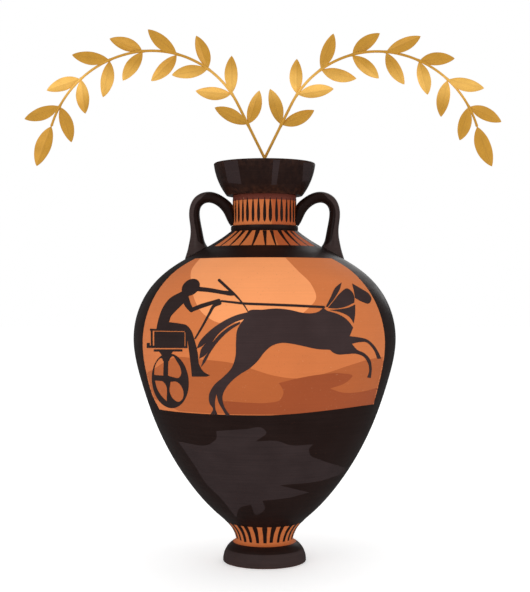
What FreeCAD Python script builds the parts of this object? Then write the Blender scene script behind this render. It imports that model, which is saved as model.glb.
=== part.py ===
import FreeCAD, Part

import math
import os

# A two-handled amphora, thrown in sections and luted together, with two gilt
# leaf branches that stand in a cork in its neck.
# Millimetres and degrees. +Z is up, the origin is on the ground under the axis,
# and the handles and branches lie in the XZ plane. +X is the viewer's right.

V = FreeCAD.Vector

# ---- Driving dimensions: foot and collar ----
FOOT_R = 64.8
FOOT_H = 30.5
FOOT_BULGE = 4.4
FOOT_EDGE_ROUND = 1.5
FOOT_TREAD_W = 17.0
FOOT_RECESS_H = 16.0
FOOT_RECESS_DRAFT = 14.0
COLLAR_STEP = 5.5
COLLAR_H = 4.5

# ---- Body ----
WAIST_R = 44.1
BELLY_R = 203.5
LOWER_BODY_H = 315.0
SHOULDER_H = 164.2
BODY_JOINT_ABOVE_WAIST = 209.0
WALL = 7.5
FLOOR_T = 12.0
FLOOR_RISE = 5.0
# Shares of the way from waist to belly, (radius, height), on the lower curve.
LOWER_CURVE = [(0.037, 0.049), (0.190, 0.129), (0.468, 0.288), (0.795, 0.589), (0.925, 0.784)]
# Shares of the way from belly to neck, (radius, height), on the shoulder curve.
SHOULDER_CURVE = [(0.142, 0.422), (0.336, 0.615), (0.761, 0.852)]

# ---- Neck and mouth ----
NECK_RING_H = 7.8
NECK_RING_STEP = 2.3
NECK_RING_PROUD = 0.6
NECK_H = 47.5
NECK_R = 49.6
MOUTH_H = 50.5
MOUTH_STEP = 9.6
MOUTH_R = 79.4
MOUTH_BULGE = 3.5
MOUTH_WALL = 7.4
SEAT_W = 7.5
SEAT_H = 5.5
LIP_ROUND = 2.2

# ---- Handles: centre line in the XZ plane ----
# Rows are distance out from the neck's surface, height above the neck ring,
# thickness in the plane of the handle, and width across it.
HANDLE_STATIONS = [
    (-6.0, 6.0, 22.0, 30.0),
    (6.2, 25.2, 18.5, 28.0),
    (15.8, 36.3, 17.7, 27.0),
    (26.0, 42.8, 17.3, 26.0),
    (38.4, 45.5, 17.2, 26.0),
    (53.4, 39.2, 17.0, 26.0),
    (59.9, 24.0, 16.6, 26.0),
    (58.4, 4.0, 17.2, 27.0),
]
# Rows for the lower root: distance out from the neck's surface, height above the
# shoulder there, thickness and width.
HANDLE_ROOT_STATIONS = [
    (56.4, 27.0, 20.5, 29.0),
    (54.9, 9.0, 30.0, 35.0),
    (53.4, -14.0, 46.0, 50.0),
]

# ---- Cork in the neck ----
BUNG_CLEARANCE = 0.4
BUNG_SEAT_GAP = 0.3
BUNG_SHANK_H = 40.0
BUNG_HEAD_H = 10.0
BUNG_HEAD_GAP = 1.5
BUNG_CHAMFER = 1.5

# ---- Branches ----
STEM_R = 1.5
STEM_FIT = 0.08
STEM_SPACING = 5.0
STEM_BELOW_BUNG = 10.0
STEM_FORK_ABOVE_LIP = 8.3
STEM_FORK_BEND_R = 10.0
STEM_SPREAD = 26.35
STEM_RUN = 94.0
STEM_ARC_1_R = 150.0
STEM_ARC_1 = 70.2
STEM_ARC_2_R = 165.4
STEM_ARC_2 = 66.5
LEAF_FIRST = 58.0
LEAF_PITCH = 54.0
LEAF_L = 57.0
LEAF_W = 20.0
LEAF_T = 0.8
LEAF_STALK_L = 5.5
LEAF_STALK_W = 1.8
LEAF_WIDEST = 0.5
LEAF_TILT = 12.0
TIP_LEAF_L = 65.0
TIP_LEAF_W = 24.0
TIP_LEAF_TURN = 3.0
# Angle between each leaf and the stem, from the fork outwards.
INNER_LEAF_ANGLES = [38.0, 50.0, 48.0, 59.0, 53.0, 54.0, 56.0, 45.0]
OUTER_LEAF_ANGLES = [44.0, 33.0, 34.0, 23.0, 27.0, 29.0, 26.0, 38.0]

# ---- Radii and heights that follow ----
COLLAR_R = WAIST_R + COLLAR_STEP
SHOULDER_TOP_R = NECK_R + NECK_RING_STEP
MOUTH_BASE_R = NECK_R + MOUTH_STEP
COLLAR_Z = FOOT_H
WAIST_Z = COLLAR_Z + COLLAR_H
BODY_JOINT_Z = WAIST_Z + BODY_JOINT_ABOVE_WAIST
BELLY_Z = WAIST_Z + LOWER_BODY_H
NECK_RING_Z = BELLY_Z + SHOULDER_H
NECK_Z = NECK_RING_Z + NECK_RING_H
MOUTH_Z = NECK_Z + NECK_H
LIP_Z = MOUTH_Z + MOUTH_H
NECK_BORE_R = NECK_R - WALL
SEAT_Z = MOUTH_Z + SEAT_H
SEAT_R = NECK_BORE_R + SEAT_W
BUNG_Z = SEAT_Z + BUNG_SEAT_GAP
BUNG_BOTTOM_Z = BUNG_Z - BUNG_SHANK_H
FORK_Z = LIP_Z + STEM_FORK_ABOVE_LIP
BIG = 2.0 * (LIP_Z + BELLY_R)


def rz(radius, height):
    """A point of a profile, in the half plane y = 0."""
    return V(radius, 0.0, height)


def line(a, b):
    return Part.makeLine(a, b)


def bowed(a, b, bow):
    """An arc from a to b that stands off their chord's middle by bow."""
    chord = b - a
    side = V(chord.z, 0.0, -chord.x).normalize()
    middle = (a + b) * 0.5 + side * bow
    return Part.Arc(a, middle, b).toShape()


def turned(edges):
    """The solid that a closed profile sweeps round the axis."""
    face = Part.Face(Part.Wire(Part.__sortEdges__(edges)))
    return face.revolve(V(0, 0, 0), V(0, 0, 1), 360.0)


def smooth(points):
    """A smooth curve through the points."""
    curve = Part.BSplineCurve()
    curve.interpolate(Points=points)
    return curve


def between(low, high, shares):
    """Points at the given shares of the way from low to high, ends left out."""
    points = []
    for share_r, share_z in shares:
        points.append(rz(low.x + share_r * (high.x - low.x), low.z + share_z * (high.z - low.z)))
    return points


def body_profile(waist, belly, top):
    """The curve from the waist, out round the belly and in over the shoulder."""
    lower = between(waist, belly, LOWER_CURVE)
    shoulder = between(belly, top, SHOULDER_CURVE)
    return smooth([waist] + lower + [belly] + shoulder + [top])


OUTER_BODY = body_profile(
    rz(WAIST_R, WAIST_Z), rz(BELLY_R, BELLY_Z), rz(SHOULDER_TOP_R, NECK_RING_Z))


def shoulder_z(radius):
    """Height of the shoulder's outer surface at a radius."""
    low = OUTER_BODY.parameter(rz(BELLY_R, BELLY_Z))
    high = OUTER_BODY.LastParameter
    for _ in range(40):
        middle = 0.5 * (low + high)
        if OUTER_BODY.value(middle).x > radius:
            low = middle
        else:
            high = middle
    return OUTER_BODY.value(low).z


def make_foot():
    tread_out = FOOT_R - FOOT_EDGE_ROUND
    tread_in = FOOT_R - FOOT_TREAD_W
    recess_top_r = tread_in - FOOT_RECESS_DRAFT
    outer = rz(COLLAR_R, FOOT_H)
    edges = [
        line(rz(tread_in, 0), rz(tread_out, 0)),
        bowed(rz(tread_out, 0), rz(FOOT_R, FOOT_EDGE_ROUND), 0.2 * FOOT_EDGE_ROUND),
        bowed(rz(FOOT_R, FOOT_EDGE_ROUND), outer, FOOT_BULGE),
        line(outer, rz(0, FOOT_H)),
        line(rz(0, FOOT_H), rz(0, FOOT_RECESS_H)),
        line(rz(0, FOOT_RECESS_H), rz(recess_top_r, FOOT_RECESS_H)),
        line(rz(recess_top_r, FOOT_RECESS_H), rz(tread_in, 0)),
    ]
    return turned(edges)


def make_foot_collar():
    low = rz(COLLAR_R, COLLAR_Z)
    high = rz(WAIST_R, WAIST_Z)
    hollow = -0.15 * low.distanceToPoint(high)
    edges = [
        bowed(low, high, hollow),
        line(high, rz(0, WAIST_Z)),
        line(rz(0, WAIST_Z), rz(0, COLLAR_Z)),
        line(rz(0, COLLAR_Z), low),
    ]
    return turned(edges)


def make_cavity():
    """The hollow from the floor up to the neck."""
    foot_point = rz(WAIST_R - WALL, WAIST_Z + FLOOR_RISE)
    belly_point = rz(BELLY_R - WALL, BELLY_Z)
    top_point = rz(NECK_BORE_R, NECK_RING_Z - 0.4 * WALL)
    over = rz(NECK_BORE_R, NECK_RING_Z + WALL)
    edges = [
        body_profile(foot_point, belly_point, top_point).toShape(),
        line(top_point, over),
        line(over, rz(0, over.z)),
        line(rz(0, over.z), rz(0, foot_point.z)),
        line(rz(0, foot_point.z), foot_point),
    ]
    below_floor = Part.makeCylinder(BIG, WAIST_Z + FLOOR_T)
    return turned(edges).cut(below_floor)


def make_body_core():
    """The body's outer form, filled."""
    edges = [
        OUTER_BODY.toShape(),
        line(rz(SHOULDER_TOP_R, NECK_RING_Z), rz(0, NECK_RING_Z)),
        line(rz(0, NECK_RING_Z), rz(0, WAIST_Z)),
        line(rz(0, WAIST_Z), rz(WAIST_R, WAIST_Z)),
    ]
    return turned(edges)


def make_neck_ring():
    low = rz(SHOULDER_TOP_R, NECK_RING_Z)
    high = rz(SHOULDER_TOP_R, NECK_Z)
    edges = [
        bowed(low, high, NECK_RING_PROUD),
        line(high, rz(NECK_BORE_R, NECK_Z)),
        line(rz(NECK_BORE_R, NECK_Z), rz(NECK_BORE_R, NECK_RING_Z)),
        line(rz(NECK_BORE_R, NECK_RING_Z), low),
    ]
    return turned(edges)


def make_neck():
    wall = Part.makeCylinder(NECK_R, NECK_H, V(0, 0, NECK_Z))
    bore = Part.makeCylinder(NECK_BORE_R, NECK_H, V(0, 0, NECK_Z))
    return wall.cut(bore)


def make_mouth():
    base = rz(MOUTH_BASE_R, MOUTH_Z)
    rim_out = rz(MOUTH_R, LIP_Z - LIP_ROUND)
    lip_out = rz(MOUTH_R - LIP_ROUND, LIP_Z)
    lip_in = rz(MOUTH_R - MOUTH_WALL + LIP_ROUND, LIP_Z)
    rim_in = rz(MOUTH_R - MOUTH_WALL, LIP_Z - LIP_ROUND)
    seat_out = rz(SEAT_R, SEAT_Z)
    seat_in = rz(NECK_BORE_R, SEAT_Z)
    bore = rz(NECK_BORE_R, MOUTH_Z)
    edges = [
        bowed(base, rim_out, MOUTH_BULGE),
        bowed(rim_out, lip_out, 0.29 * LIP_ROUND),
        line(lip_out, lip_in),
        bowed(lip_in, rim_in, 0.29 * LIP_ROUND),
        bowed(rim_in, seat_out, -MOUTH_BULGE),
        line(seat_out, seat_in),
        line(seat_in, bore),
        line(bore, base),
    ]
    return turned(edges)


def oval(centre, heading, thickness, width):
    """An ellipse across a handle: width along Y, thickness in the plane."""
    across = V(0, 1, 0)
    turn = FreeCAD.Rotation(across, heading.cross(across), heading, "ZXY")
    ring = Part.Ellipse(V(0, 0, 0), 0.5 * width, 0.5 * thickness).toShape()
    ring.Placement = FreeCAD.Placement(centre, turn)
    return Part.Wire(ring)


def make_handle(core):
    """The right handle, from inside the neck to inside the shoulder, cut to both."""
    rows = []
    for out, up, thickness, width in HANDLE_STATIONS:
        rows.append((rz(NECK_R + out, NECK_Z + up), thickness, width))
    for out, up, thickness, width in HANDLE_ROOT_STATIONS:
        radius = NECK_R + out
        rows.append((rz(radius, shoulder_z(radius) + up), thickness, width))
    path = smooth([row[0] for row in rows])
    sections = []
    for centre, thickness, width in rows:
        heading = path.tangent(path.parameter(centre))[0]
        sections.append(oval(centre, heading, thickness, width))
    return Part.makeLoft(sections, True).cut(core)


def make_bung(holes):
    shank_r = NECK_BORE_R - BUNG_CLEARANCE
    head_r = SEAT_R - BUNG_HEAD_GAP
    head_z = BUNG_Z + BUNG_HEAD_H
    edges = [
        line(rz(0, BUNG_BOTTOM_Z), rz(shank_r - BUNG_CHAMFER, BUNG_BOTTOM_Z)),
        line(rz(shank_r - BUNG_CHAMFER, BUNG_BOTTOM_Z), rz(shank_r, BUNG_BOTTOM_Z + BUNG_CHAMFER)),
        line(rz(shank_r, BUNG_BOTTOM_Z + BUNG_CHAMFER), rz(shank_r, BUNG_Z)),
        line(rz(shank_r, BUNG_Z), rz(head_r, BUNG_Z)),
        line(rz(head_r, BUNG_Z), rz(head_r, head_z - BUNG_CHAMFER)),
        line(rz(head_r, head_z - BUNG_CHAMFER), rz(head_r - BUNG_CHAMFER, head_z)),
        line(rz(head_r - BUNG_CHAMFER, head_z), rz(0, head_z)),
        line(rz(0, head_z), rz(0, BUNG_BOTTOM_Z)),
    ]
    cork = turned(edges)
    for hole in holes:
        cork = cork.cut(hole)
    return cork


# The left branch is drawn in its own plane and leans towards -X.
STEM_Y = -0.5 * STEM_SPACING
STEM_LEGS = [
    (STEM_RUN, 0.0),
    (STEM_ARC_1_R * math.radians(STEM_ARC_1), 1.0 / STEM_ARC_1_R),
    (STEM_ARC_2_R * math.radians(STEM_ARC_2), 1.0 / STEM_ARC_2_R),
]


def lean(angle):
    """The direction that leans from straight up towards -X."""
    return V(-math.sin(angle), 0.0, math.cos(angle))


def along_leg(start, angle, curvature, distance):
    """Point and lean after a distance along one straight or round leg."""
    if curvature == 0.0:
        return start + lean(angle) * distance, angle
    turned_to = angle + curvature * distance
    step = V(math.cos(turned_to) - math.cos(angle), 0.0, math.sin(turned_to) - math.sin(angle))
    return start + step * (1.0 / curvature), turned_to


def along_stem(distance):
    """Point and lean at a distance from the fork along the visible stem."""
    point = V(0.0, STEM_Y, FORK_Z)
    angle = math.radians(STEM_SPREAD)
    for length, curvature in STEM_LEGS:
        step = min(distance, length)
        point, angle = along_leg(point, angle, curvature, step)
        distance -= step
    return point, angle


def stem_length():
    return sum(length for length, _ in STEM_LEGS)


def make_stem():
    """The shank in the cork, the bend at the fork and the long arc above it."""
    spread = math.radians(STEM_SPREAD)
    setback = STEM_FORK_BEND_R * math.tan(0.5 * spread)
    bottom = V(0.0, STEM_Y, BUNG_BOTTOM_Z - STEM_BELOW_BUNG)
    bend_in = V(0.0, STEM_Y, FORK_Z - setback)
    bend_mid, _ = along_leg(bend_in, 0.0, 1.0 / STEM_FORK_BEND_R, 0.5 * spread * STEM_FORK_BEND_R)
    bend_out, _ = along_stem(setback)
    edges = [line(bottom, bend_in), Part.Arc(bend_in, bend_mid, bend_out).toShape()]
    start = bend_out
    travelled = 0.0
    for length, curvature in STEM_LEGS:
        middle, _ = along_stem(travelled + 0.5 * length)
        end, _ = along_stem(travelled + length)
        if curvature == 0.0:
            edges.append(line(start, end))
        else:
            edges.append(Part.Arc(start, middle, end).toShape())
        start = end
        travelled += length
    ring = Part.Wire(Part.Circle(bottom, V(0, 0, 1), STEM_R).toShape())
    return Part.Wire(edges).makePipeShell([ring], True, True)


def stem_hole(x_sign):
    hole_r = STEM_R + STEM_FIT
    start = V(0.0, x_sign * STEM_Y, BUNG_BOTTOM_Z - 1.0)
    return Part.makeCylinder(hole_r, BUNG_SHANK_H + BUNG_HEAD_H + 2.0, start)


def leaf_outline(length, width):
    """A leaf in the XY plane: its stalk starts at the origin and its tip is on +X."""
    stalk = 0.5 * LEAF_STALK_W
    widest = LEAF_STALK_L + LEAF_WIDEST * (length - LEAF_STALK_L)
    tip = V(length, 0, 0)
    left_base = V(LEAF_STALK_L, stalk, 0)
    right_base = V(LEAF_STALK_L, -stalk, 0)
    edges = [
        line(V(0, -stalk, 0), V(0, stalk, 0)),
        line(V(0, stalk, 0), left_base),
        Part.Arc(left_base, V(widest, 0.5 * width, 0), tip).toShape(),
        Part.Arc(tip, V(widest, -0.5 * width, 0), right_base).toShape(),
        line(right_base, V(0, -stalk, 0)),
    ]
    return Part.Face(Part.Wire(edges))


def make_leaf(length, width, root, angle, tilt, stem):
    """A flat leaf that grows from root, leaning by angle and tilted out of the plane."""
    plate = leaf_outline(length, width).extrude(V(0, 0, LEAF_T))
    plate.translate(V(0, 0, -0.5 * LEAF_T))
    out = lean(angle) * math.cos(tilt) + V(0, 1, 0) * math.sin(tilt)
    side = lean(angle - 0.5 * math.pi)
    turn = FreeCAD.Rotation(out, side, out.cross(side), "XYZ")
    plate.Placement = FreeCAD.Placement(root, turn).multiply(plate.Placement)
    return plate.cut(stem)


def make_branch():
    """The left stem and its leaves, by name without the side."""
    stem = make_stem()
    pieces = {"stem": stem}
    tilt = math.radians(LEAF_TILT)
    pairs = zip(INNER_LEAF_ANGLES, OUTER_LEAF_ANGLES)
    for index, (inner, outer) in enumerate(pairs):
        root, angle = along_stem(LEAF_FIRST + index * LEAF_PITCH)
        side = 1 if index % 2 else -1
        for name, turn, leaf_tilt in (("inner", inner, side * tilt), ("outer", -outer, -side * tilt)):
            leaf = make_leaf(LEAF_L, LEAF_W, root, angle + math.radians(turn), leaf_tilt, stem)
            pieces[f"{name}_leaf_{index + 1}"] = leaf
    root, angle = along_stem(stem_length())
    tip_angle = angle - math.radians(TIP_LEAF_TURN)
    pieces["tip_leaf"] = make_leaf(TIP_LEAF_L, TIP_LEAF_W, root, tip_angle, 0.0, stem)
    return pieces


def half_turn(shape):
    """The same shape on the other side of the axis."""
    other = shape.copy()
    other.rotate(V(0, 0, 0), V(0, 0, 1), 180.0)
    return other


def make_all():
    nodes = {"foot": make_foot(), "foot_collar": make_foot_collar()}
    core = make_body_core()
    shell = core.cut(make_cavity())
    below_joint = Part.makeCylinder(BIG, BODY_JOINT_Z)
    nodes["lower_body"] = shell.common(below_joint)
    nodes["upper_body"] = shell.cut(below_joint)
    nodes["neck_ring"] = make_neck_ring()
    nodes["neck"] = make_neck()
    nodes["mouth"] = make_mouth()
    filled = core.fuse(Part.makeCylinder(NECK_R, NECK_H + NECK_RING_H, V(0, 0, NECK_RING_Z)))
    for name in ("neck_ring", "mouth"):
        filled = filled.fuse(nodes[name])
    right_handle = make_handle(filled)
    nodes["left_handle"] = half_turn(right_handle)
    nodes["right_handle"] = right_handle
    nodes["neck_cork"] = make_bung([stem_hole(1), stem_hole(-1)])
    for name, shape in make_branch().items():
        nodes[f"left_{name}"] = shape
        nodes[f"right_{name}"] = half_turn(shape)
    return nodes


def one_solid(shape):
    """The single solid inside a boolean's result."""
    solids = shape.Solids
    if len(solids) != 1:
        raise ValueError(f"expected one solid, found {len(solids)}")
    return solids[0]


os.makedirs("parts", exist_ok=True)
for node, node_shape in make_all().items():
    try:
        solid = one_solid(node_shape)
    except ValueError as error:
        raise ValueError(f"{node}: {error}") from error
    solid.exportStep(f"parts/{node}.step")
    box = solid.BoundBox
    print(f"{node:22s} valid {solid.isValid()} volume {solid.Volume / 1000:9.2f} cm3 "
          f"z {box.ZMin:7.2f} {box.ZMax:7.2f} x {box.XMin:8.2f} {box.XMax:8.2f}")
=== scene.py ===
"""A painted two-handled amphora with gilt leaf branches, made round its CAD frame."""

import math
from contextlib import contextmanager

import bmesh
import bpy
import numpy as np
from mathutils import Matrix, Vector
from mathutils.geometry import delaunay_2d_cdt


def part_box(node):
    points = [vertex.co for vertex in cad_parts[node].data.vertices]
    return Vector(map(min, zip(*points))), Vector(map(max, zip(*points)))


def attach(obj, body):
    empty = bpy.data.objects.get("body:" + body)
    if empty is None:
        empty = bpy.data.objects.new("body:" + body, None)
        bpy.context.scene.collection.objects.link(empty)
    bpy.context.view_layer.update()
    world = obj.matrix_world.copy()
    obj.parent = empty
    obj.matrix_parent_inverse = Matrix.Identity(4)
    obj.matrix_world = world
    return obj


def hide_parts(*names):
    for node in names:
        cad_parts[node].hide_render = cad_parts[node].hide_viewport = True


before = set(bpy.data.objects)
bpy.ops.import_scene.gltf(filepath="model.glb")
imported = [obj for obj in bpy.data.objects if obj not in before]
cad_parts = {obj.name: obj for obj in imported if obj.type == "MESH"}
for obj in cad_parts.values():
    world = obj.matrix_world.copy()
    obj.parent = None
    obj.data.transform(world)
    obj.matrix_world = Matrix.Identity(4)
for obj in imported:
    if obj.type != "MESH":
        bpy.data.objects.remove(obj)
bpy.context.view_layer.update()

bl_info = {
    "name": "Painted Amphora",
    "version": (1, 0, 0),
    "blender": (4, 5, 0),
    "location": "View3D > Sidebar > Amphora",
    "description": "Throws, paints and gilds a black-figure amphora with two leaf branches",
    "category": "Object",
}

MM = 0.001
TAU = 2.0 * math.pi
# Points nearer than this are the same point.
SAME_PLACE = 1e-6
# Edges of thrown and painted pieces, and of leaves, stay sharp where they turn by more degrees than these.
CREASE = 38.0
LEAF_CREASE = 50.0
# The radius at which drawings are laid out flat.
FLAT_RADIUS = 0.2
# How far a painted layer reaches into the clay, so that no gap shows under it.
SUNK = 0.15 * MM
# The same for the repeated strokes.
STROKE_SUNK = 0.2 * MM
# How far one layer of paint stands above the coat it crosses, and a patch of painted reflection above the
# same coat.
OVER_COAT = 0.05 * MM
PATCH_OVER_COAT = 0.07 * MM
# Spacing, in millimetres, of the points that fill a broad wash.
WASH_LATTICE = 3.6
# How far strokes stray: aside and in lean as shares of their spacing, in rise of their height, in width.
STRAY_ASIDE = 0.28
STRAY_LEAN = 0.3
STRAY_RISE = 0.07
STRAY_WIDTH = 0.5
# The middle of the neck strokes, below the shaded part of the neck.
NECK_STROKES_DOWN = 15.5 * MM
# Spacing of the points read from a skin, and the height of the rows that they are kept in.
SKIN_STEP = 1.0 * MM
SKIN_ROW = 0.25 * MM
# A wall is out of sight where the outline passes this far outside it.
BEHIND = 3.0 * MM
# Points nearer to the axis than this stand on it.
ON_AXIS = 0.5 * MM
# Walls less than this outside the bore stay true, so that the cork fits.
BORE_SKIN = 0.2 * MM
# An edge that turns by this much is fully worn.
WORN_TURN = math.radians(80.0)
# Quads round a thrown piece, and the spacing of its rings on walls that are out of sight.
COLUMNS = 240
INNER_STEP = 5.0 * MM
# The finishes of the thrown pieces, in the order of their material slots. Among them are a painted highlight
# on the foot's rim, a painted shadow under the mouth and painted shade on one side of the neck and tongues.
PANEL, BARE, GLOSS, FOOT_PAINTED_HIGHLIGHT, SHADE, SIDE_PAINTED_SHADE = range(6)
# Faces that look down more squarely than this are the foot's underside, which is left bare.
UNDERSIDE = -0.97
# A handle's painted highlight on its outer flank: the middle of its loop, in from the outer edge and down
# from the top, and how squarely the skin must face away from that middle to take the painted highlight,
# by height in millimetres.
LOOP_IN = 38.0 * MM
LOOP_DOWN = 52.0 * MM
FLANK_HEIGHTS = [487.0, 499.0, 526.0, 560.0]
FLANK_LIMITS = [-1.1, -0.2, 0.2, -0.05]
# Where the painted highlight starts to die away outside the loop's middle, over what distance, how much that
# counts, and how steep the highlight's edge is.
INBOARD_FROM = 12.0 * MM
INBOARD_REACH = 14.0 * MM
INBOARD_WEIGHT = 1.4
FLANK_EDGE = 2.2


def srgb(red, green, blue):
    """A colour given in 0 to 255 screen values, as linear light."""
    linear = []
    for value in (red, green, blue):
        share = value / 255.0
        linear.append(share / 12.92 if share <= 0.04045 else ((share + 0.055) / 1.055) ** 2.4)
    return tuple(linear)


def colour(name, description, default):
    return bpy.props.FloatVectorProperty(
        name=name, description=description, default=default, subtype="COLOR", size=3, min=0.0, max=1.0)


def length(name, description, default_mm):
    return bpy.props.FloatProperty(
        name=name, description=description, default=default_mm * MM, unit="LENGTH", subtype="DISTANCE")


def angle(name, description, default_degrees):
    return bpy.props.FloatProperty(
        name=name, description=description, default=math.radians(default_degrees), unit="ROTATION",
        subtype="ANGLE")


def share(name, description, default):
    return bpy.props.FloatProperty(
        name=name, description=description, default=default, min=0.0, max=1.0, subtype="FACTOR")


def amount(name, description, default):
    return bpy.props.FloatProperty(name=name, description=description, default=default, min=0.0)


def count(name, description, default):
    return bpy.props.IntProperty(name=name, description=description, default=default, min=3)


# ---- Sizes and colours that a user would change ----

class ClaySettings(bpy.types.PropertyGroup):
    """Thrown clay: its colours, painted highlight, painted shade and painted shadow among them, and the marks
    of the wheel.
    """

    middle: colour("Clay", "Colour of the fired clay", srgb(208, 117, 63))
    # Pale clay is a painted highlight on the panel's upper middle.
    pale: colour("Pale clay", "Clay where the kiln fired it lightest", srgb(247, 157, 98))
    # Low clay is painted shade on the panel towards the ground line.
    low: colour("Low clay", "Clay towards the ground line", srgb(180, 94, 46))
    # Deep clay is the deepest painted shade, low on the panel.
    deep: colour("Deep clay", "Clay where the kiln fired it darkest", srgb(158, 75, 36))
    neck: colour("Neck clay", "Clay of the neck, the tongues and the base rays", srgb(200, 110, 58))
    # Shaded clay is a painted shadow of the mouth on the top of the neck.
    shadow: colour("Shaded clay", "Clay under the mouth, darkened in the kiln", srgb(112, 52, 38))
    # Painted shade on one side of the neck and tongues.
    side_painted_shade: colour("Painted shade on the side", "Neck and tongues on the side away from the fire", srgb(178, 86, 42))
    ridge: length("Throwing ridges", "Height of the spiral left by the fingers", 0.05)
    ridge_pitch: length("Ridge pitch", "Rise of the spiral in one turn", 9.0)
    wobble: length("Wobble", "How far the hand-thrown wall strays from round", 0.35)
    # The washes carry the panel's painted highlight and painted shade.
    wash: length("Wash thickness", "Thickness of the thin clay washes on the panel", 0.07)


class SlipSettings(bpy.types.PropertyGroup):
    """Black slip: its colours, painted highlights and reflections among them, its thickness and where its
    zones end.
    """

    gloss: colour("Gloss slip", "Colour of the glossy black slip", srgb(35, 21, 18))
    figure: colour("Figure slip", "Colour of the slip the figures are drawn in", srgb(47, 35, 34))
    # This colour is a painted reflection on the slip of the lower body and the mouth.
    satin: colour("Sheen of painted reflections", "Colour of the slip where it misfired to a satin grey", srgb(52, 40, 40))
    # The handles' outer flanks carry a painted highlight in this colour.
    painted_handle_highlight: colour("Painted handle highlight", "Colour of the handles' outer flanks", srgb(61, 48, 46))
    # The foot's rim colour is a painted highlight where its side faces the light.
    painted_foot_highlight: colour("Painted foot highlight", "Colour of the foot's rim", srgb(59, 46, 45))
    horse: colour("Horse slip", "Colour of the slip the horse is painted in", srgb(58, 43, 43))
    relief: length("Figure relief", "How far the drawn slip stands off the clay", 0.35)
    coat: length("Coat", "How far the brushed slip stands off the clay", 0.20)
    panel_top: length("Panel top", "Height of the panel's upper border", 469.5)
    panel_low: length("Panel bottom", "Height of the ground line", 244.0)
    tongue_low: length("Tongues' foot", "Height where the shoulder tongues start", 489.0)
    tongue_top: length("Tongues' top", "Height where the shoulder tongues end", 513.0)
    ray_top: length("Rays' top", "Height where the black above the base rays starts", 62.5)
    ray_low: length("Rays' foot", "Height where the strokes between the base rays end", 35.5)
    # Top of the painted highlight on the foot's rim.
    foot_band: length("Foot band", "Height where the foot's satin rim gives way to gloss", 20.5)
    # Where the painted shadow under the mouth starts on the neck.
    neck_shade: length("Neck shade", "Height where the neck is darkened under the mouth", 560.5)
    left_top: angle("Left border, top", "Panel's left border at its top, from the front", 60.5)
    left_low: angle("Left border, bottom", "Panel's left border at its bottom, from the front", 65.0)
    right_top: angle("Right border, top", "Panel's right border at its top, from the front", 57.5)
    right_low: angle("Right border, bottom", "Panel's right border at its bottom, from the front", 64.0)
    # Where the painted shade on the neck and tongues starts.
    painted_shade_start: angle("Painted shade start", "Where the darker side of the neck starts, from the front", 13.5)
    handle_ground: angle("Handle ground", "Black ground each side of a handle's foot on the shoulder", 32.0)
    low_tuck: angle("Low tuck", "How far the panel's lower left corner is drawn in", 4.8)
    corner_tuck: angle("Corner tuck", "How far the borders turn in at the panel's upper corners", 4.0)


class StrokeSettings(bpy.types.PropertyGroup):
    """Brush strokes that repeat round the jar."""

    neck_count: count("Neck strokes", "Spindle strokes round the neck", 34)
    neck_width: length("Neck stroke width", "Widest part of a neck stroke", 4.8)
    neck_height: length("Neck stroke height", "Height of a neck stroke", 37.5)
    tongue_count: count("Tongue strokes", "Black strokes between the shoulder tongues", 30)
    tongue_width: length("Tongue stroke width", "Top width of a stroke between tongues", 6.2)
    ray_count: count("Base strokes", "Black strokes between the base rays", 26)
    ray_width: length("Base stroke width", "Top width of a base stroke", 7.0)
    unevenness: share("Unevenness", "How much the hand-drawn strokes differ", 0.35)


class GiltSettings(bpy.types.PropertyGroup):
    """Gilt branches: their colours, with a painted highlight band, and the shape beaten into the leaves."""

    # Bright gilt is a painted highlight band across the branches; dull gilt lies outside it.
    bright: colour("Bright gilt", "Gilt where it is burnished", srgb(255, 198, 96))
    dull: colour("Dull gilt", "Gilt where it is left satin", srgb(212, 155, 54))
    # Height and half height of the painted highlight band on the gilt.
    painted_highlight_height: length("Painted highlight height", "Height of the band where the gilt is brightest", 744.0)
    painted_highlight_spread: length("Painted highlight spread", "Half the height of that band", 40.0)
    leaf_thickness: length("Leaf thickness", "Thickness of the beaten leaf", 0.8)
    fullness: amount("Fullness", "Width of a beaten leaf against its blank", 1.03)
    reach: share("Reach", "Length that beating adds to a leaf", 0.035)
    cup: length("Cup", "How far a leaf's edges curl from its midrib", 1.2)
    droop: length("Droop", "How far a leaf's tip bends back", 2.0)
    midrib: length("Midrib", "Height of the midrib", 0.55)
    vein: length("Veins", "Height of the side veins", 0.12)
    knuckle: length("Knuckle", "Rise of the stem at a leaf", 0.45)
    knuckle_reach: length("Knuckle reach", "Distance over which that rise dies away", 3.2)
    plump: length("Plumpness", "Thickness drawing adds to the stem all along", 0.42)
    plump_fork: length("Fork plumpness", "Thickness it adds besides at the fork", 0.38)


class StudioSettings(bpy.types.PropertyGroup):
    """Camera and light."""

    distance: length("Viewing distance", "From the jar's axis to the camera", 1900.0)
    eye_height: length("Eye height", "Height of the camera", 413.0)
    beside: length("Beside", "How far the camera stands to the right of the axis", 0.7)
    frame_height: length("Framed height", "Height of the picture at the jar's axis", 925.7)
    sky: amount("Sky", "Strength of the even light", 0.80)
    sky_gloss: amount("Sky in gloss", "Strength of the even light seen in reflections", 0.12)
    key: amount("Key light", "Power of the soft lights in front on the left and behind", 14.0)
    fill: amount("Fill light", "Power of the soft light on the right", 5.0)


SETTINGS = {
    "amphora_clay": ClaySettings,
    "amphora_slip": SlipSettings,
    "amphora_strokes": StrokeSettings,
    "amphora_gilt": GiltSettings,
    "amphora_studio": StudioSettings,
}


def settings(name):
    return getattr(bpy.context.scene, f"amphora_{name}")


# ---- Meshes ----

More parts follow.
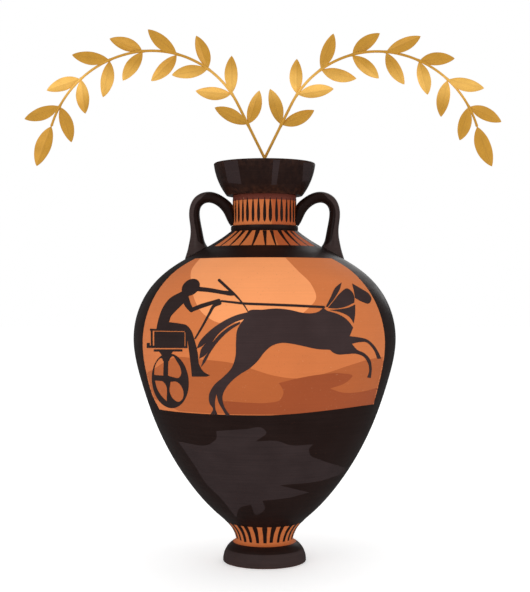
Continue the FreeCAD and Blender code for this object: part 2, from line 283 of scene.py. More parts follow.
def new_object(name, mesh, materials):
    """A smooth-shaded object at the origin with the given materials."""
    piece = bpy.data.objects.new(name, mesh)
    bpy.context.scene.collection.objects.link(piece)
    for material in materials:
        mesh.materials.append(material)
    mesh.polygons.foreach_set("use_smooth", [True] * len(mesh.polygons))
    return piece


def mesh_from(name, vertices, faces):
    mesh = bpy.data.meshes.new(name)
    mesh.from_pydata([tuple(map(float, vertex)) for vertex in vertices], [], faces)
    mesh.validate()
    return mesh


@contextmanager
def editing(mesh):
    """The mesh opened for editing, and written back at the end."""
    shape = bmesh.new()
    shape.from_mesh(mesh)
    yield shape
    shape.to_mesh(mesh)
    shape.free()


def turn_outward(mesh, merged=False):
    """Points every face outward, after merging doubles where asked."""
    with editing(mesh) as shape:
        if merged:
            bmesh.ops.remove_doubles(shape, verts=shape.verts, dist=SAME_PLACE)
        bmesh.ops.recalc_face_normals(shape, faces=shape.faces)


def sharpen(mesh, degrees=CREASE):
    """Marks edges that turn by more than this as sharp."""
    limit = math.radians(degrees)
    with editing(mesh) as shape:
        for edge in shape.edges:
            if len(edge.link_faces) == 2 and edge.calc_face_angle(0.0) > limit:
                edge.smooth = False


# ---- Outlines of the turned pieces, read from the frame ----

def chain(edges):
    """Vertex positions of a run of edges in order, and whether it closes."""
    neighbours = {}
    for edge in edges:
        first, second = edge.verts
        neighbours.setdefault(first, []).append(second)
        neighbours.setdefault(second, []).append(first)
    ends = [vertex for vertex, others in neighbours.items() if len(others) == 1]
    start = min(ends, key=lambda vertex: vertex.co.z) if ends else next(iter(neighbours))
    order = [start]
    previous = None
    while True:
        onward = [vertex for vertex in neighbours[order[-1]] if vertex is not previous]
        if not onward or onward[0] is start:
            break
        previous = order[-1]
        order.append(onward[0])
    return [(vertex.co.x, vertex.co.z) for vertex in order], not ends


def section(node):
    """The node's outline in the half plane through +X, as (radius, height) points."""
    shape = bmesh.new()
    shape.from_mesh(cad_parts[node].data)
    bmesh.ops.remove_doubles(shape, verts=shape.verts, dist=SAME_PLACE)
    for normal, clear_out in (((0, 1, 0), True), ((1, 0, 0), False)):
        everything = shape.verts[:] + shape.edges[:] + shape.faces[:]
        bmesh.ops.bisect_plane(shape, geom=everything, dist=2e-6, plane_co=(0, 0, 0), plane_no=normal,
                               clear_inner=True, clear_outer=clear_out)
    points, closed = chain(shape.edges)
    shape.free()
    return points, closed


def turn_at(points, index):
    """How sharply a line of points turns at one of them."""
    before = np.subtract(points[index], points[index - 1])
    after = np.subtract(points[(index + 1) % len(points)], points[index])
    cosine = np.dot(before, after) / (np.linalg.norm(before) * np.linalg.norm(after) + 1e-15)
    return math.acos(max(-1.0, min(1.0, cosine)))


def smooth_run(points, step):
    """A finer line through points that keeps to their curve."""
    points = np.array(points, float)
    if len(points) == 2:
        pieces = max(1, int(np.linalg.norm(points[1] - points[0]) / step))
        shares = np.linspace(0.0, 1.0, pieces + 1)[:, None]
        return list(points[0] * (1 - shares) + points[1] * shares)
    slopes = np.gradient(points, np.r_[0, np.cumsum(np.linalg.norm(np.diff(points, axis=0), axis=1))], axis=0)
    fine = [points[0]]
    for index in range(len(points) - 1):
        chord = np.linalg.norm(points[index + 1] - points[index])
        pieces = max(1, int(math.ceil(chord / step)))
        for piece in range(1, pieces + 1):
            fine.append(hermite(points[index], points[index + 1], slopes[index] * chord,
                                slopes[index + 1] * chord, piece / pieces))
    return fine


def hermite(start, end, leave, arrive, t):
    """A point on the cubic from start to end with given slopes at both."""
    square = t * t
    cube = square * t
    return (start * (2 * cube - 3 * square + 1) + leave * (cube - 2 * square + t)
            + end * (3 * square - 2 * cube) + arrive * (cube - square))


def refine(points, closed, step, hidden_step=None, corner=math.radians(32.0)):
    """The outline with its round stretches smoothed and its corners kept."""
    whole = points
    size = len(points)
    inner = range(size) if closed else range(1, size - 1)
    corners = [index for index in inner if turn_at(points, index) > corner]
    if closed:
        first = corners[0]
        points = points[first:] + points[:first + 1]
        corners = [index - first for index in corners] + [size]
    else:
        corners = [0] + corners + [size - 1]
    fine = []
    for low, high in zip(corners, corners[1:]):
        run = points[low:high + 1]
        middle = whole.index(run[len(run) // 2])
        coarse = hidden_step and len(run) > 2 and is_hidden(whole, middle)
        fine.extend(smooth_run(run, hidden_step if coarse else step)[:-1])
    if not closed:
        fine.append(np.array(points[-1]))
    return fine


def add_levels(points, closed, levels):
    """The outline with extra points where it crosses given heights."""
    result = []
    last = len(points) if closed else len(points) - 1
    for index in range(last):
        start = points[index]
        end = points[(index + 1) % len(points)]
        result.append(start)
        crossings = []
        for level in levels:
            if (start[1] - level) * (end[1] - level) < -1e-12:
                crossings.append((level - start[1]) / (end[1] - start[1]))
        for crossing in sorted(crossings):
            result.append(start * (1 - crossing) + end * crossing)
    if not closed:
        result.append(points[-1])
    return result


class Surface:
    """The outer skin of one or more turned pieces: radius by height."""

    def __init__(self, *nodes):
        rows = {}
        for node in nodes:
            points, closed = section(node)
            fine = refine(points, closed, SKIN_STEP)
            for index, (radius, height) in enumerate(fine):
                key = round(height / SKIN_ROW)
                if not is_hidden(fine, index) and radius > rows.get(key, (0.0, 0.0))[0]:
                    rows[key] = (radius, height)
        outline = sorted(rows.values(), key=lambda row: row[1])
        self.radii = np.array([row[0] for row in outline])
        self.heights = np.array([row[1] for row in outline])

    def radius(self, heights):
        return np.interp(heights, self.heights, self.radii)

    def slope(self, heights):
        step = 2.0 * MM
        return (self.radius(heights + step) - self.radius(heights - step)) / (2.0 * step)

    def place(self, azimuths, heights, proud):
        """Points that stand proud of the surface, given azimuths from the front."""
        radii = self.radius(heights)
        slopes = self.slope(heights)
        steep = np.sqrt(1.0 + slopes * slopes)
        out = radii + strayed(heights, azimuths) + proud / steep
        return round_axis(out, azimuths, heights - proud * slopes / steep)

    def seen(self, across, up, distance, eye):
        """Azimuths and heights where sight lines through points of the upright plane
        across the axis meet the surface."""
        near = np.full(len(across), 0.80)
        far = np.full(len(across), 1.0)
        for _ in range(40):
            middle = 0.5 * (near + far)
            outside = self.gap(across, up, distance, eye, middle) > 0.0
            near = np.where(outside, middle, near)
            far = np.where(outside, far, middle)
        side = across * near
        depth = distance * (1.0 - near)
        return np.arctan2(side, depth), eye + (up - eye) * near

    def gap(self, across, up, distance, eye, reach):
        side = across * reach
        depth = distance * (1.0 - reach)
        heights = eye + (up - eye) * reach
        return np.hypot(side, depth) - self.radius(heights)


def round_axis(radii, azimuths, heights):
    """Points at distances from the axis, azimuths from the front and heights."""
    return np.stack([radii * np.sin(azimuths), -radii * np.cos(azimuths), heights], axis=1)


def strayed(heights, azimuths):
    """How far the hand-thrown wall stands off true: a slow wobble and the finger spiral."""
    clay = settings("clay")
    tall = heights / MM
    wobble = (np.sin(2.0 * azimuths + tall / 97.0 + 0.6) * 0.5
              + np.sin(3.0 * azimuths - tall / 61.0 + 2.1) * 0.3
              + np.sin(azimuths + tall / 143.0 + 4.0) * 0.2)
    spiral = np.sin(TAU * heights / clay.ridge_pitch + azimuths)
    fade = 0.55 + 0.45 * np.sin(tall / 38.0 + 1.3)
    return clay.wobble * wobble + clay.ridge * spiral * fade


def lathe(name, points, closed, materials, bore, warp, zone, coat, worn):
    """A turned piece: the outline swept round the axis, with the wall hand-thrown outside its bore."""
    base = np.arange(COLUMNS) * TAU / COLUMNS
    hidden = [is_hidden(points, index) for index in range(len(points))]
    vertices = []
    rings = []
    wear = []
    for index, (radius, height) in enumerate(points):
        if radius < ON_AXIS:
            rings.append([len(vertices)])
            vertices.append((0.0, 0.0, height))
            wear.append(0.0)
            continue
        azimuths = warp(base, height) if warp else base
        free = 0.0 if radius < bore + BORE_SKIN else 1.0
        out = radius + free * strayed(np.full(COLUMNS, height), azimuths)
        if coat and not hidden[index]:
            out = out + coat(azimuths, height)
        rings.append(list(range(len(vertices), len(vertices) + COLUMNS)))
        vertices.extend(round_axis(out, azimuths, np.full(COLUMNS, height)))
        wear.extend([worn * edge_wear(points, closed, index)] * COLUMNS)
    pairs = list(zip(rings, rings[1:]))
    if closed:
        pairs.append((rings[-1], rings[0]))
    faces = []
    outer = []
    for index, (low, high) in enumerate(pairs):
        new_faces = band(low, high)
        faces.extend(new_faces)
        outer.extend([not hidden[index]] * len(new_faces))
    mesh = mesh_from(name, vertices, faces)
    attribute = mesh.attributes.new("wear", "FLOAT", "POINT")
    attribute.data.foreach_set("value", wear)
    piece = new_object(name, mesh, materials)
    turn_outward(mesh)
    for polygon, is_outer in zip(mesh.polygons, outer):
        centre = polygon.center
        polygon.material_index = zone(math.atan2(centre.x, -centre.y), centre.z, polygon.normal, is_outer)
    sharpen(mesh)
    return piece


def is_hidden(points, index):
    """Whether the outline passes well outside this point at its height."""
    radius, height = points[index]
    starts = np.array(points)
    ends = np.roll(starts, -1, axis=0)
    rise = ends[:, 1] - starts[:, 1]
    spans = (starts[:, 1] - height) * (ends[:, 1] - height) <= 0.0
    spans &= np.abs(rise) > 1e-9
    part = (height - starts[spans, 1]) / rise[spans]
    crossed = starts[spans, 0] * (1.0 - part) + ends[spans, 0] * part
    return bool(np.any(crossed > radius + BEHIND))


def band(low, high):
    """Faces between two rings, either of which may be a single point on the axis."""
    faces = []
    for column in range(COLUMNS):
        onward = (column + 1) % COLUMNS
        if len(low) == 1 and len(high) == 1:
            return []
        if len(low) == 1:
            faces.append((low[0], high[onward], high[column]))
        elif len(high) == 1:
            faces.append((low[column], low[onward], high[0]))
        else:
            faces.append((low[column], low[onward], high[onward], high[column]))
    return faces


def edge_wear(points, closed, index):
    """How much an outline point is a worn edge, from 0 to 1."""
    if not closed and index in (0, len(points) - 1):
        return 0.0
    reach = 3
    total = 0.0
    for offset in range(-reach, reach + 1):
        other = index + offset
        if closed:
            other %= len(points)
        elif not 0 < other < len(points) - 1:
            continue
        total += turn_at(points, other) * (1.0 - abs(offset) / (reach + 1.0))
    return min(1.0, total / WORN_TURN)


# ---- Drawing on the surface ----

def outline(points, step=1.5):
    """A closed line through (across, up) points in millimetres; a third value marks a corner."""
    flags = [len(point) > 2 for point in points]
    bare = [np.array(point[:2], float) * MM for point in points]
    step = step * MM
    if not any(flags):
        return round_loop(bare, step)
    first = flags.index(True)
    bare = bare[first:] + bare[:first + 1]
    flags = flags[first:] + flags[:first + 1]
    marks = [index for index, flag in enumerate(flags) if flag]
    fine = []
    for low, high in zip(marks, marks[1:]):
        fine.extend(smooth_run(bare[low:high + 1], step)[:-1])
    return np.array(fine)


def round_loop(points, step):
    """A smooth closed line with no corner."""
    lap = 3
    size = len(points)
    ring = [points[index % size] for index in range(-lap, size + lap + 1)]
    pieces = [max(1, math.ceil(np.linalg.norm(end - start) / step)) for start, end in zip(ring, ring[1:])]
    lead = sum(pieces[:lap])
    return np.array(smooth_run(ring, step)[lead:lead + sum(pieces[lap:lap + size])])


def ellipse(centre, reach, tilt_degrees=0.0, steps=48):
    """An ellipse in millimetres, as a closed line."""
    turns = np.arange(steps) * TAU / steps
    tilt = math.radians(tilt_degrees)
    along = reach[0] * np.cos(turns)
    beside = reach[1] * np.sin(turns)
    across = centre[0] + along * math.cos(tilt) - beside * math.sin(tilt)
    up = centre[1] + along * math.sin(tilt) + beside * math.cos(tilt)
    return np.stack([across, up], axis=1) * MM


def stroke(points, step=1.5):
    """The outline of one brush stroke through (across, up, width) points in millimetres."""
    fine = np.array(smooth_run([np.array(point, float) * MM for point in points], step * MM))
    line = fine[:, :2]
    half = 0.5 * fine[:, 2:]
    heading = np.gradient(line, axis=0)
    heading /= np.linalg.norm(heading, axis=1)[:, None] + 1e-12
    beside = np.stack([-heading[:, 1], heading[:, 0]], axis=1)
    cap = np.linspace(0.5 * math.pi, -0.5 * math.pi, 7)[1:-1]
    far = [line[-1] + half[-1] * (heading[-1] * math.cos(turn) + beside[-1] * math.sin(turn)) for turn in cap]
    near = [line[0] - half[0] * (heading[0] * math.cos(turn) + beside[0] * math.sin(turn)) for turn in cap]
    return np.array(list(line + half * beside) + far + list((line - half * beside)[::-1]) + near)


def inside(points, loops):
    """Which points lie within an odd number of the closed lines."""
    within = np.zeros(len(points), bool)
    x, y = points[:, 0], points[:, 1]
    for loop in loops:
        for (x1, y1), (x2, y2) in zip(loop, np.roll(loop, -1, axis=0)):
            if y1 == y2:
                continue
            crosses = ((y1 > y) != (y2 > y)) & (x < (x2 - x1) * (y - y1) / (y2 - y1) + x1)
            within ^= crosses
    return within


def lay_flat(loops, lattice):
    """Triangles that fill closed lines, with a lattice of points between them."""
    corners = []
    edges = []
    for loop in loops:
        start = len(corners)
        corners.extend(loop)
        edges.extend((start + index, start + (index + 1) % len(loop)) for index in range(len(loop)))
    low = np.min(loops[0], axis=0)
    high = np.max(loops[0], axis=0)
    grid = np.stack(np.meshgrid(np.arange(low[0], high[0], lattice),
                                np.arange(low[1], high[1], lattice)), axis=-1).reshape(-1, 2)
    filling = grid[inside(grid, loops)] if len(grid) else grid
    spots = [Vector(point) for point in corners] + [Vector(point) for point in filling]
    flat, _, faces, _, _, _ = delaunay_2d_cdt(spots, edges, [], 0, SAME_PLACE)
    flat = np.array([tuple(point) for point in flat])
    middles = np.array([flat[list(face)].mean(axis=0) for face in faces])
    kept = inside(middles, loops)
    return flat, [tuple(face) for face, keep in zip(faces, kept) if keep]


def painted(name, shapes, surface, proud, material, back=False, lattice=4.5, framed=False):
    """A thin closed layer laid on a turned surface. Each shape is a list of closed lines on the
    upright plane through the axis, drawn as a viewer in front sees them: a rim and its holes.
    A framed layer stops at the panel's border."""
    studio = settings("studio")
    vertices = []
    faces = []
    for loops in shapes:
        wrapped = []
        for loop in loops:
            azimuths, heights = surface.seen(loop[:, 0] + studio.beside, loop[:, 1], studio.distance,
                                             studio.eye_height)
            if framed:
                azimuths, heights = hold_in_panel(azimuths, heights)
            wrapped.append(np.stack([azimuths * FLAT_RADIUS, heights], axis=1))
        flat, triangles = lay_flat(wrapped, lattice * MM)
        azimuths = flat[:, 0] / FLAT_RADIUS + (math.pi if back else 0.0)
        top = surface.place(azimuths, flat[:, 1], proud)
        bottom = surface.place(azimuths, flat[:, 1], -SUNK)
        start = len(vertices)
        under = start + len(top)
        vertices.extend(top)
        vertices.extend(bottom)
        sides = set()
        for face in triangles:
            faces.append(tuple(start + corner for corner in face))
            faces.append(tuple(under + corner for corner in reversed(face)))
            for first, second in zip(face, face[1:] + face[:1]):
                sides ^= {(first, second)} if (second, first) not in sides else {(second, first)}
        for first, second in sorted(sides):
            faces.append((start + second, start + first, under + first, under + second))
    mesh = mesh_from(name, vertices, faces)
    with editing(mesh) as shape:
        loose = [vertex for vertex in shape.verts if not vertex.link_faces]
        bmesh.ops.delete(shape, geom=loose, context="VERTS")
        bmesh.ops.recalc_face_normals(shape, faces=shape.faces)
    piece = new_object(name, mesh, [material])
    sharpen(mesh)
    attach(piece, "amphora")
    return piece


# ---- Shader building ----

def put(tree, kind, inputs=None, **attributes):
    """Adds a node, sets its attributes, and fills its inputs with values or links."""
    node = tree.nodes.new(kind)
    for name, value in attributes.items():
        setattr(node, name, value)
    for key, value in (inputs or {}).items():
        socket = node.inputs[key]
        if isinstance(value, bpy.types.NodeSocket):
            tree.links.new(value, socket)
        elif isinstance(socket.default_value, float) or not hasattr(socket.default_value, "__len__"):
            socket.default_value = value
        elif len(socket.default_value) == 4 and len(value) == 3:
            socket.default_value = (*value, 1.0)
        else:
            socket.default_value = value
    return node


def maths(tree, operation, *values):
    """The result of one Math node."""
    return put(tree, "ShaderNodeMath", dict(enumerate(values)), operation=operation).outputs[0]


def spread(tree, value, low, high, new_low, new_high):
    """A value moved from one range to another and held there."""
    node = put(tree, "ShaderNodeMapRange", {"Value": value, "From Min": low, "From Max": high,
                                            "To Min": new_low, "To Max": new_high})
    return node.outputs["Result"]


def blend(tree, factor, first, second, mode="MIX"):
    """Two colours mixed by a factor."""
    node = put(tree, "ShaderNodeMix", {0: factor, 6: first, 7: second}, data_type="RGBA", blend_type=mode)
    return node.outputs[2]


def noise(tree, vector, scale, detail=3.0, roughness=0.55):
    """A noise value about a half, at a scale in features a metre."""
    node = put(tree, "ShaderNodeTexNoise", {"Vector": vector, "Scale": scale, "Detail": detail,
                                            "Roughness": roughness})
    return node.outputs[0]


def stretched(tree, vector, scale):
    """Coordinates stretched by a factor each way."""
    return put(tree, "ShaderNodeMapping", {"Vector": vector, "Scale": scale}).outputs[0]


def new_group(name, inputs, outputs):
    """An empty shader group with named sockets, its inputs and its output node."""
    tree = bpy.data.node_groups.new(name, "ShaderNodeTree")
    kinds = {"float": "NodeSocketFloat", "colour": "NodeSocketColor", "vector": "NodeSocketVector"}
    for label, kind, default in inputs:
        socket = tree.interface.new_socket(label, in_out="INPUT", socket_type=kinds[kind])
        if default is not None:
            socket.default_value = (*default, 1.0) if kind == "colour" else default
    for label, kind in outputs:
        tree.interface.new_socket(label, in_out="OUTPUT", socket_type=kinds[kind])
    return tree, tree.nodes.new("NodeGroupInput").outputs, tree.nodes.new("NodeGroupOutput")


def grey(tree, value):
    """A value as a grey colour."""
    return put(tree, "ShaderNodeCombineColor", {0: value, 1: value, 2: value}).outputs[0]


def clay_group():
    """Grain, grog specks, turning lines and kiln mottling of fired clay."""
    tree, given, result = new_group(
        "Fired Clay",
        [("Coordinates", "vector", None), ("Colour", "colour", (0.6, 0.2, 0.06)), ("Mottle", "float", 0.06),
         ("Grain", "float", 0.05), ("Specks", "float", 0.25)],
        [("Colour", "colour"), ("Roughness", "float"), ("Height", "float")])
    place = given["Coordinates"]
    cloud = noise(tree, place, 11.0, 4.0)
    grain = noise(tree, place, 1100.0, 3.0, 0.7)
    lines = noise(tree, stretched(tree, place, (5.0, 5.0, 420.0)), 1.0, 3.0, 0.6)
    grit = noise(tree, place, 420.0, 1.0)
    low = maths(tree, "SUBTRACT", 1.0, given["Mottle"])
    high = maths(tree, "ADD", 1.0, given["Mottle"])
    tone = spread(tree, cloud, 0.32, 0.68, low, high)
    tone = maths(tree, "MULTIPLY", tone, spread(tree, lines, 0.3, 0.7, 0.975, 1.02))
    swing = maths(tree, "MULTIPLY", maths(tree, "SUBTRACT", grain, 0.5), given["Grain"])
    tone = maths(tree, "ADD", tone, swing)
    coloured = blend(tree, 1.0, given["Colour"], grey(tree, tone), "MULTIPLY")
    dark_specks = maths(tree, "MULTIPLY", spread(tree, grit, 0.70, 0.76, 0.0, 1.0), given["Specks"])
    pale_specks = maths(tree, "MULTIPLY", spread(tree, grit, 0.27, 0.22, 0.0, 1.0), given["Specks"])
    coloured = blend(tree, dark_specks, coloured, (0.16, 0.05, 0.02))
    coloured = blend(tree, pale_specks, coloured, (0.95, 0.62, 0.36))
    height = maths(tree, "ADD", maths(tree, "MULTIPLY", grain, 0.30), maths(tree, "MULTIPLY", lines, 0.6))
    height = maths(tree, "SUBTRACT", height, maths(tree, "MULTIPLY", dark_specks, 0.4))
    tree.links.new(coloured, result.inputs["Colour"])
    tree.links.new(spread(tree, grain, 0.3, 0.7, 0.52, 0.68), result.inputs["Roughness"])
    tree.links.new(height, result.inputs["Height"])
    return tree


def slip_group():
    """Brush streaks, thin patches and worn edges of fired slip."""
    tree, given, result = new_group(
        "Brushed Slip",
        [("Coordinates", "vector", None), ("Colour", "colour", (0.02, 0.01, 0.008)),
         ("Worn Colour", "colour", (0.20, 0.07, 0.03)), ("Wear", "float", 0.0), ("Streaks", "float", 0.2),
         ("Smoothness", "float", 0.7)],
        [("Colour", "colour"), ("Roughness", "float"), ("Height", "float")])
    place = given["Coordinates"]
    streak = noise(tree, stretched(tree, place, (9.0, 9.0, 520.0)), 1.0, 4.0, 0.65)
    pool = noise(tree, place, 24.0, 3.0)
    fleck = noise(tree, place, 700.0, 2.0)
    patchy = spread(tree, noise(tree, place, 160.0, 4.0), 0.35, 0.7, 0.0, 1.0)
    reach = maths(tree, "MULTIPLY", given["Wear"], patchy)
    pinholes = spread(tree, fleck, 0.74, 0.78, 0.0, 0.6)
    low = maths(tree, "SUBTRACT", 1.0, given["Streaks"])
    high = maths(tree, "ADD", 1.0, given["Streaks"])
    tone = maths(tree, "MULTIPLY", spread(tree, streak, 0.3, 0.7, low, high),
                 spread(tree, pool, 0.3, 0.7, 0.9, 1.12))
    coloured = blend(tree, 1.0, given["Colour"], grey(tree, tone), "MULTIPLY")
    coloured = blend(tree, maths(tree, "MAXIMUM", reach, pinholes), coloured, given["Worn Colour"])
    rough = maths(tree, "SUBTRACT", 0.92, given["Smoothness"])
    rough = maths(tree, "ADD", rough, spread(tree, pool, 0.3, 0.7, -0.05, 0.08))
    rough = maths(tree, "ADD", rough, maths(tree, "MULTIPLY", reach, 0.2))
    height = maths(tree, "ADD", maths(tree, "MULTIPLY", streak, 0.6), maths(tree, "MULTIPLY", pool, 0.3))
    height = maths(tree, "SUBTRACT", height, maths(tree, "MULTIPLY", pinholes, 0.5))
    tree.links.new(coloured, result.inputs["Colour"])
    tree.links.new(rough, result.inputs["Roughness"])
    tree.links.new(height, result.inputs["Height"])
    return tree


def gilt_group():
    """Hammer facets, rubbed lines and a painted highlight band on gilt."""
    tree, given, result = new_group(
        "Beaten Gilt",
        [("Coordinates", "vector", None), ("Dull", "colour", (0.6, 0.3, 0.03)),
         ("Bright", "colour", (0.9, 0.5, 0.1)), ("Worn Colour", "colour", (0.3, 0.13, 0.03)),
         ("Highlight Band Height", "float", 0.744), ("Highlight Band Spread", "float", 0.034), ("Hollows", "float", 0.0)],
        [("Colour", "colour"), ("Roughness", "float"), ("Height", "float")])
    place = given["Coordinates"]
    height = put(tree, "ShaderNodeSeparateXYZ", {0: place}).outputs[2]
    # A painted highlight band at one height, brightest in its middle.
    away = maths(tree, "ABSOLUTE", maths(tree, "SUBTRACT", height, given["Highlight Band Height"]))
    highlight_weight = put(tree, "ShaderNodeMapRange", {"Value": away, "From Min": 0.0, "From Max": given["Highlight Band Spread"],
                                             "To Min": 1.0, "To Max": 0.0}, interpolation_type="SMOOTHSTEP")
    dents = put(tree, "ShaderNodeTexVoronoi", {"Vector": place, "Scale": 210.0}, feature="SMOOTH_F1")
    rubbed = noise(tree, stretched(tree, place, (900.0, 900.0, 120.0)), 1.0, 3.0)
    cloud = noise(tree, place, 60.0, 3.0)
    coloured = blend(tree, highlight_weight.outputs[0], given["Dull"], given["Bright"])
    tone = maths(tree, "MULTIPLY", spread(tree, cloud, 0.3, 0.7, 0.94, 1.06),
                 spread(tree, rubbed, 0.3, 0.7, 0.97, 1.03))
    coloured = blend(tree, 1.0, coloured, grey(tree, tone), "MULTIPLY")
    hollow = maths(tree, "MULTIPLY", given["Hollows"], spread(tree, cloud, 0.3, 0.6, 0.4, 0.8))
    coloured = blend(tree, hollow, coloured, given["Worn Colour"])
    tree.links.new(coloured, result.inputs["Colour"])
    tree.links.new(spread(tree, rubbed, 0.3, 0.7, 0.30, 0.46), result.inputs["Roughness"])
    raised = maths(tree, "ADD", maths(tree, "MULTIPLY", dents.outputs[0], 0.7),
                   maths(tree, "MULTIPLY", rubbed, 0.15))
    tree.links.new(raised, result.inputs["Height"])
    return tree


def effect_of(tree, name, make, inputs):
    """A node of the named shader group, which is built the first time it is asked for."""
    return put(tree, "ShaderNodeGroup", inputs, node_tree=bpy.data.node_groups.get(name) or make())


def start_material(name):
    """A material with its shader and the piece's own coordinates."""
    material = bpy.data.materials.new(name)
    material.use_nodes = True
    tree = material.node_tree
    tree.nodes.clear()
    output = tree.nodes.new("ShaderNodeOutputMaterial")
    shader = tree.nodes.new("ShaderNodeBsdfPrincipled")
    tree.links.new(shader.outputs[0], output.inputs["Surface"])
    place = tree.nodes.new("ShaderNodeTexCoord").outputs["Object"]
    return material, tree, shader, place


def finish_material(tree, shader, tint, roughness, height, strength, depth):
    """Links a colour, a roughness and a bump from a height to the shader."""
    raised = put(tree, "ShaderNodeBump", {"Strength": strength, "Distance": depth, "Height": height})
    tree.links.new(tint, shader.inputs["Base Color"])
    tree.links.new(roughness, shader.inputs["Roughness"])
    tree.links.new(raised.outputs[0], shader.inputs["Normal"])


def clay_material(name, base, mottle=0.05, specks=0.2):
    """Fired clay in one base colour."""
    if name in bpy.data.materials:
        return bpy.data.materials[name]
    material, tree, shader, place = start_material(name)
    effect = effect_of(tree, "Fired Clay", clay_group, {
        "Coordinates": place, "Colour": tuple(base), "Mottle": mottle, "Specks": specks}).outputs
    finish_material(tree, shader, effect["Colour"], effect["Roughness"], effect["Height"], 0.35, 0.25 * MM)
    shader.inputs["Specular IOR Level"].default_value = 0.18
    return material


def slip_material(name, base, streaks=0.16, smoothness=0.58, specular=0.14, second=None):
    """Fired slip in one base colour, worn, and turned to a second colour, a painted highlight, where the
    piece says so.
    """
    if name in bpy.data.materials:
        return bpy.data.materials[name]
    material, tree, shader, place = start_material(name)
    wear = put(tree, "ShaderNodeAttribute", attribute_name="wear").outputs["Fac"]
    worn = maths(tree, "MULTIPLY", wear, 0.35)
    tint = tuple(base)
    if second:
        # The second colour is a painted highlight, laid where the piece's mask attribute says.
        patch = put(tree, "ShaderNodeAttribute", attribute_name="satin").outputs["Fac"]
        ragged = maths(tree, "ADD", patch, spread(tree, noise(tree, place, 90.0, 2.0), 0.3, 0.7, -0.06, 0.06))
        highlight_mask = spread(tree, ragged, 0.44, 0.56, 0.0, 1.0)
        tint = blend(tree, highlight_mask, tint, tuple(second))
    effect = effect_of(tree, "Brushed Slip", slip_group, {
        "Coordinates": place, "Colour": tint, "Wear": worn, "Streaks": streaks,
        "Smoothness": smoothness}).outputs
    finish_material(tree, shader, effect["Colour"], effect["Roughness"], effect["Height"], 0.25, 0.2 * MM)
    shader.inputs["Specular IOR Level"].default_value = specular
    return material


def gilt_material(name, veined):
    """Gilt metal; on a leaf its side veins and midrib hollows follow the leaf."""
    if name in bpy.data.materials:
        return bpy.data.materials[name]
    gilt = settings("gilt")
    material, tree, shader, place = start_material(name)
    # Dull and bright gilt, with the painted highlight band between them.
    effect = effect_of(tree, "Beaten Gilt", gilt_group, {
        "Coordinates": place, "Dull": tuple(gilt.dull), "Bright": tuple(gilt.bright),
        "Highlight Band Height": gilt.painted_highlight_height, "Highlight Band Spread": gilt.painted_highlight_spread})
    made = effect.outputs
    height = made["Height"]
    if veined:
        spot = put(tree, "ShaderNodeUVMap", uv_map="leaf").outputs[0]
        parts = put(tree, "ShaderNodeSeparateXYZ", {0: spot})
        beside = maths(tree, "ABSOLUTE", maths(tree, "SUBTRACT", parts.outputs[0], 0.5))
        along = maths(tree, "SUBTRACT", parts.outputs[1], maths(tree, "MULTIPLY", beside, 0.45))
        wave = maths(tree, "SINE", maths(tree, "MULTIPLY", along, 62.0))
        crest = spread(tree, wave, 0.55, 1.0, 0.0, 1.0)
        rib = spread(tree, beside, 0.0, 0.035, 1.0, 0.0)
        raised = maths(tree, "MAXIMUM", crest, rib)
        height = maths(tree, "ADD", height, maths(tree, "MULTIPLY", raised, 0.9))
        hollow = spread(tree, beside, 0.03, 0.075, 0.16, 0.0)
        tree.links.new(hollow, effect.inputs["Hollows"])
    finish_material(tree, shader, made["Colour"], made["Roughness"], height, 0.45, gilt.vein)
    shader.inputs["Metallic"].default_value = 0.22
    shader.inputs["Specular IOR Level"].default_value = 0.4
    return material


def cork_material():
    """Cork: pale ground with dark pores and short grain."""
    material, tree, shader, place = start_material("Cork")
    ground = noise(tree, place, 130.0, 4.0)
    upright = stretched(tree, place, (1.0, 1.0, 0.45))
    pores = put(tree, "ShaderNodeTexVoronoi", {"Vector": upright, "Scale": 240.0})
    pitted = spread(tree, pores.outputs["Distance"], 0.16, 0.26, 1.0, 0.0)
    chance = spread(tree, noise(tree, place, 95.0, 2.0), 0.46, 0.56, 0.0, 1.0)
    pitted = maths(tree, "MULTIPLY", pitted, chance)
    coloured = blend(tree, spread(tree, ground, 0.3, 0.7, 0.0, 1.0), srgb(172, 122, 78), srgb(206, 163, 115))
    coloured = blend(tree, pitted, coloured, srgb(88, 52, 30))
    height = maths(tree, "SUBTRACT", maths(tree, "MULTIPLY", ground, 0.4), pitted)
    roughness = spread(tree, ground, 0.3, 0.7, 0.72, 0.88)
    finish_material(tree, shader, coloured, roughness, height, 0.8, 0.6 * MM)
    return material


def slips():
    """The slip finishes: gloss, figure, and painted sheen for painted reflections."""
    slip = settings("slip")
    return (slip_material("Gloss Slip", slip.gloss), slip_material("Figure Slip", slip.figure, 0.10, 0.50),
            slip_material("Satin Slip", slip.satin, 0.12, 0.46, 0.12))


# ---- The drawings: (across, up) in millimetres as seen from in front; a third value marks a corner ----

# A painted highlight on the panel's upper middle, laid as a thin clay wash.
PAINTED_HIGHLIGHT_WASH = [(-100, 474, 1), (-116, 450), (-116, 438), (-111, 410), (-100, 389), (-80, 374), (-20, 374),
             (50, 380), (66, 392), (80, 410), (73, 430), (51, 453), (31, 474, 1)]
# Painted shade on the panel towards the ground line, laid as a thin clay wash.
LOWER_PAINTED_SHADE_WASH = [(-196, 286, 1), (-177, 297), (-140, 317), (-102, 314), (-47, 307), (-24, 300), (16, 288),
            (51, 284),
            (91, 291), (134, 305), (164, 314), (192, 319, 1), (184, 258, 1), (130, 228, 1), (0, 212, 1),
            (-120, 226, 1), (-184, 258, 1)]
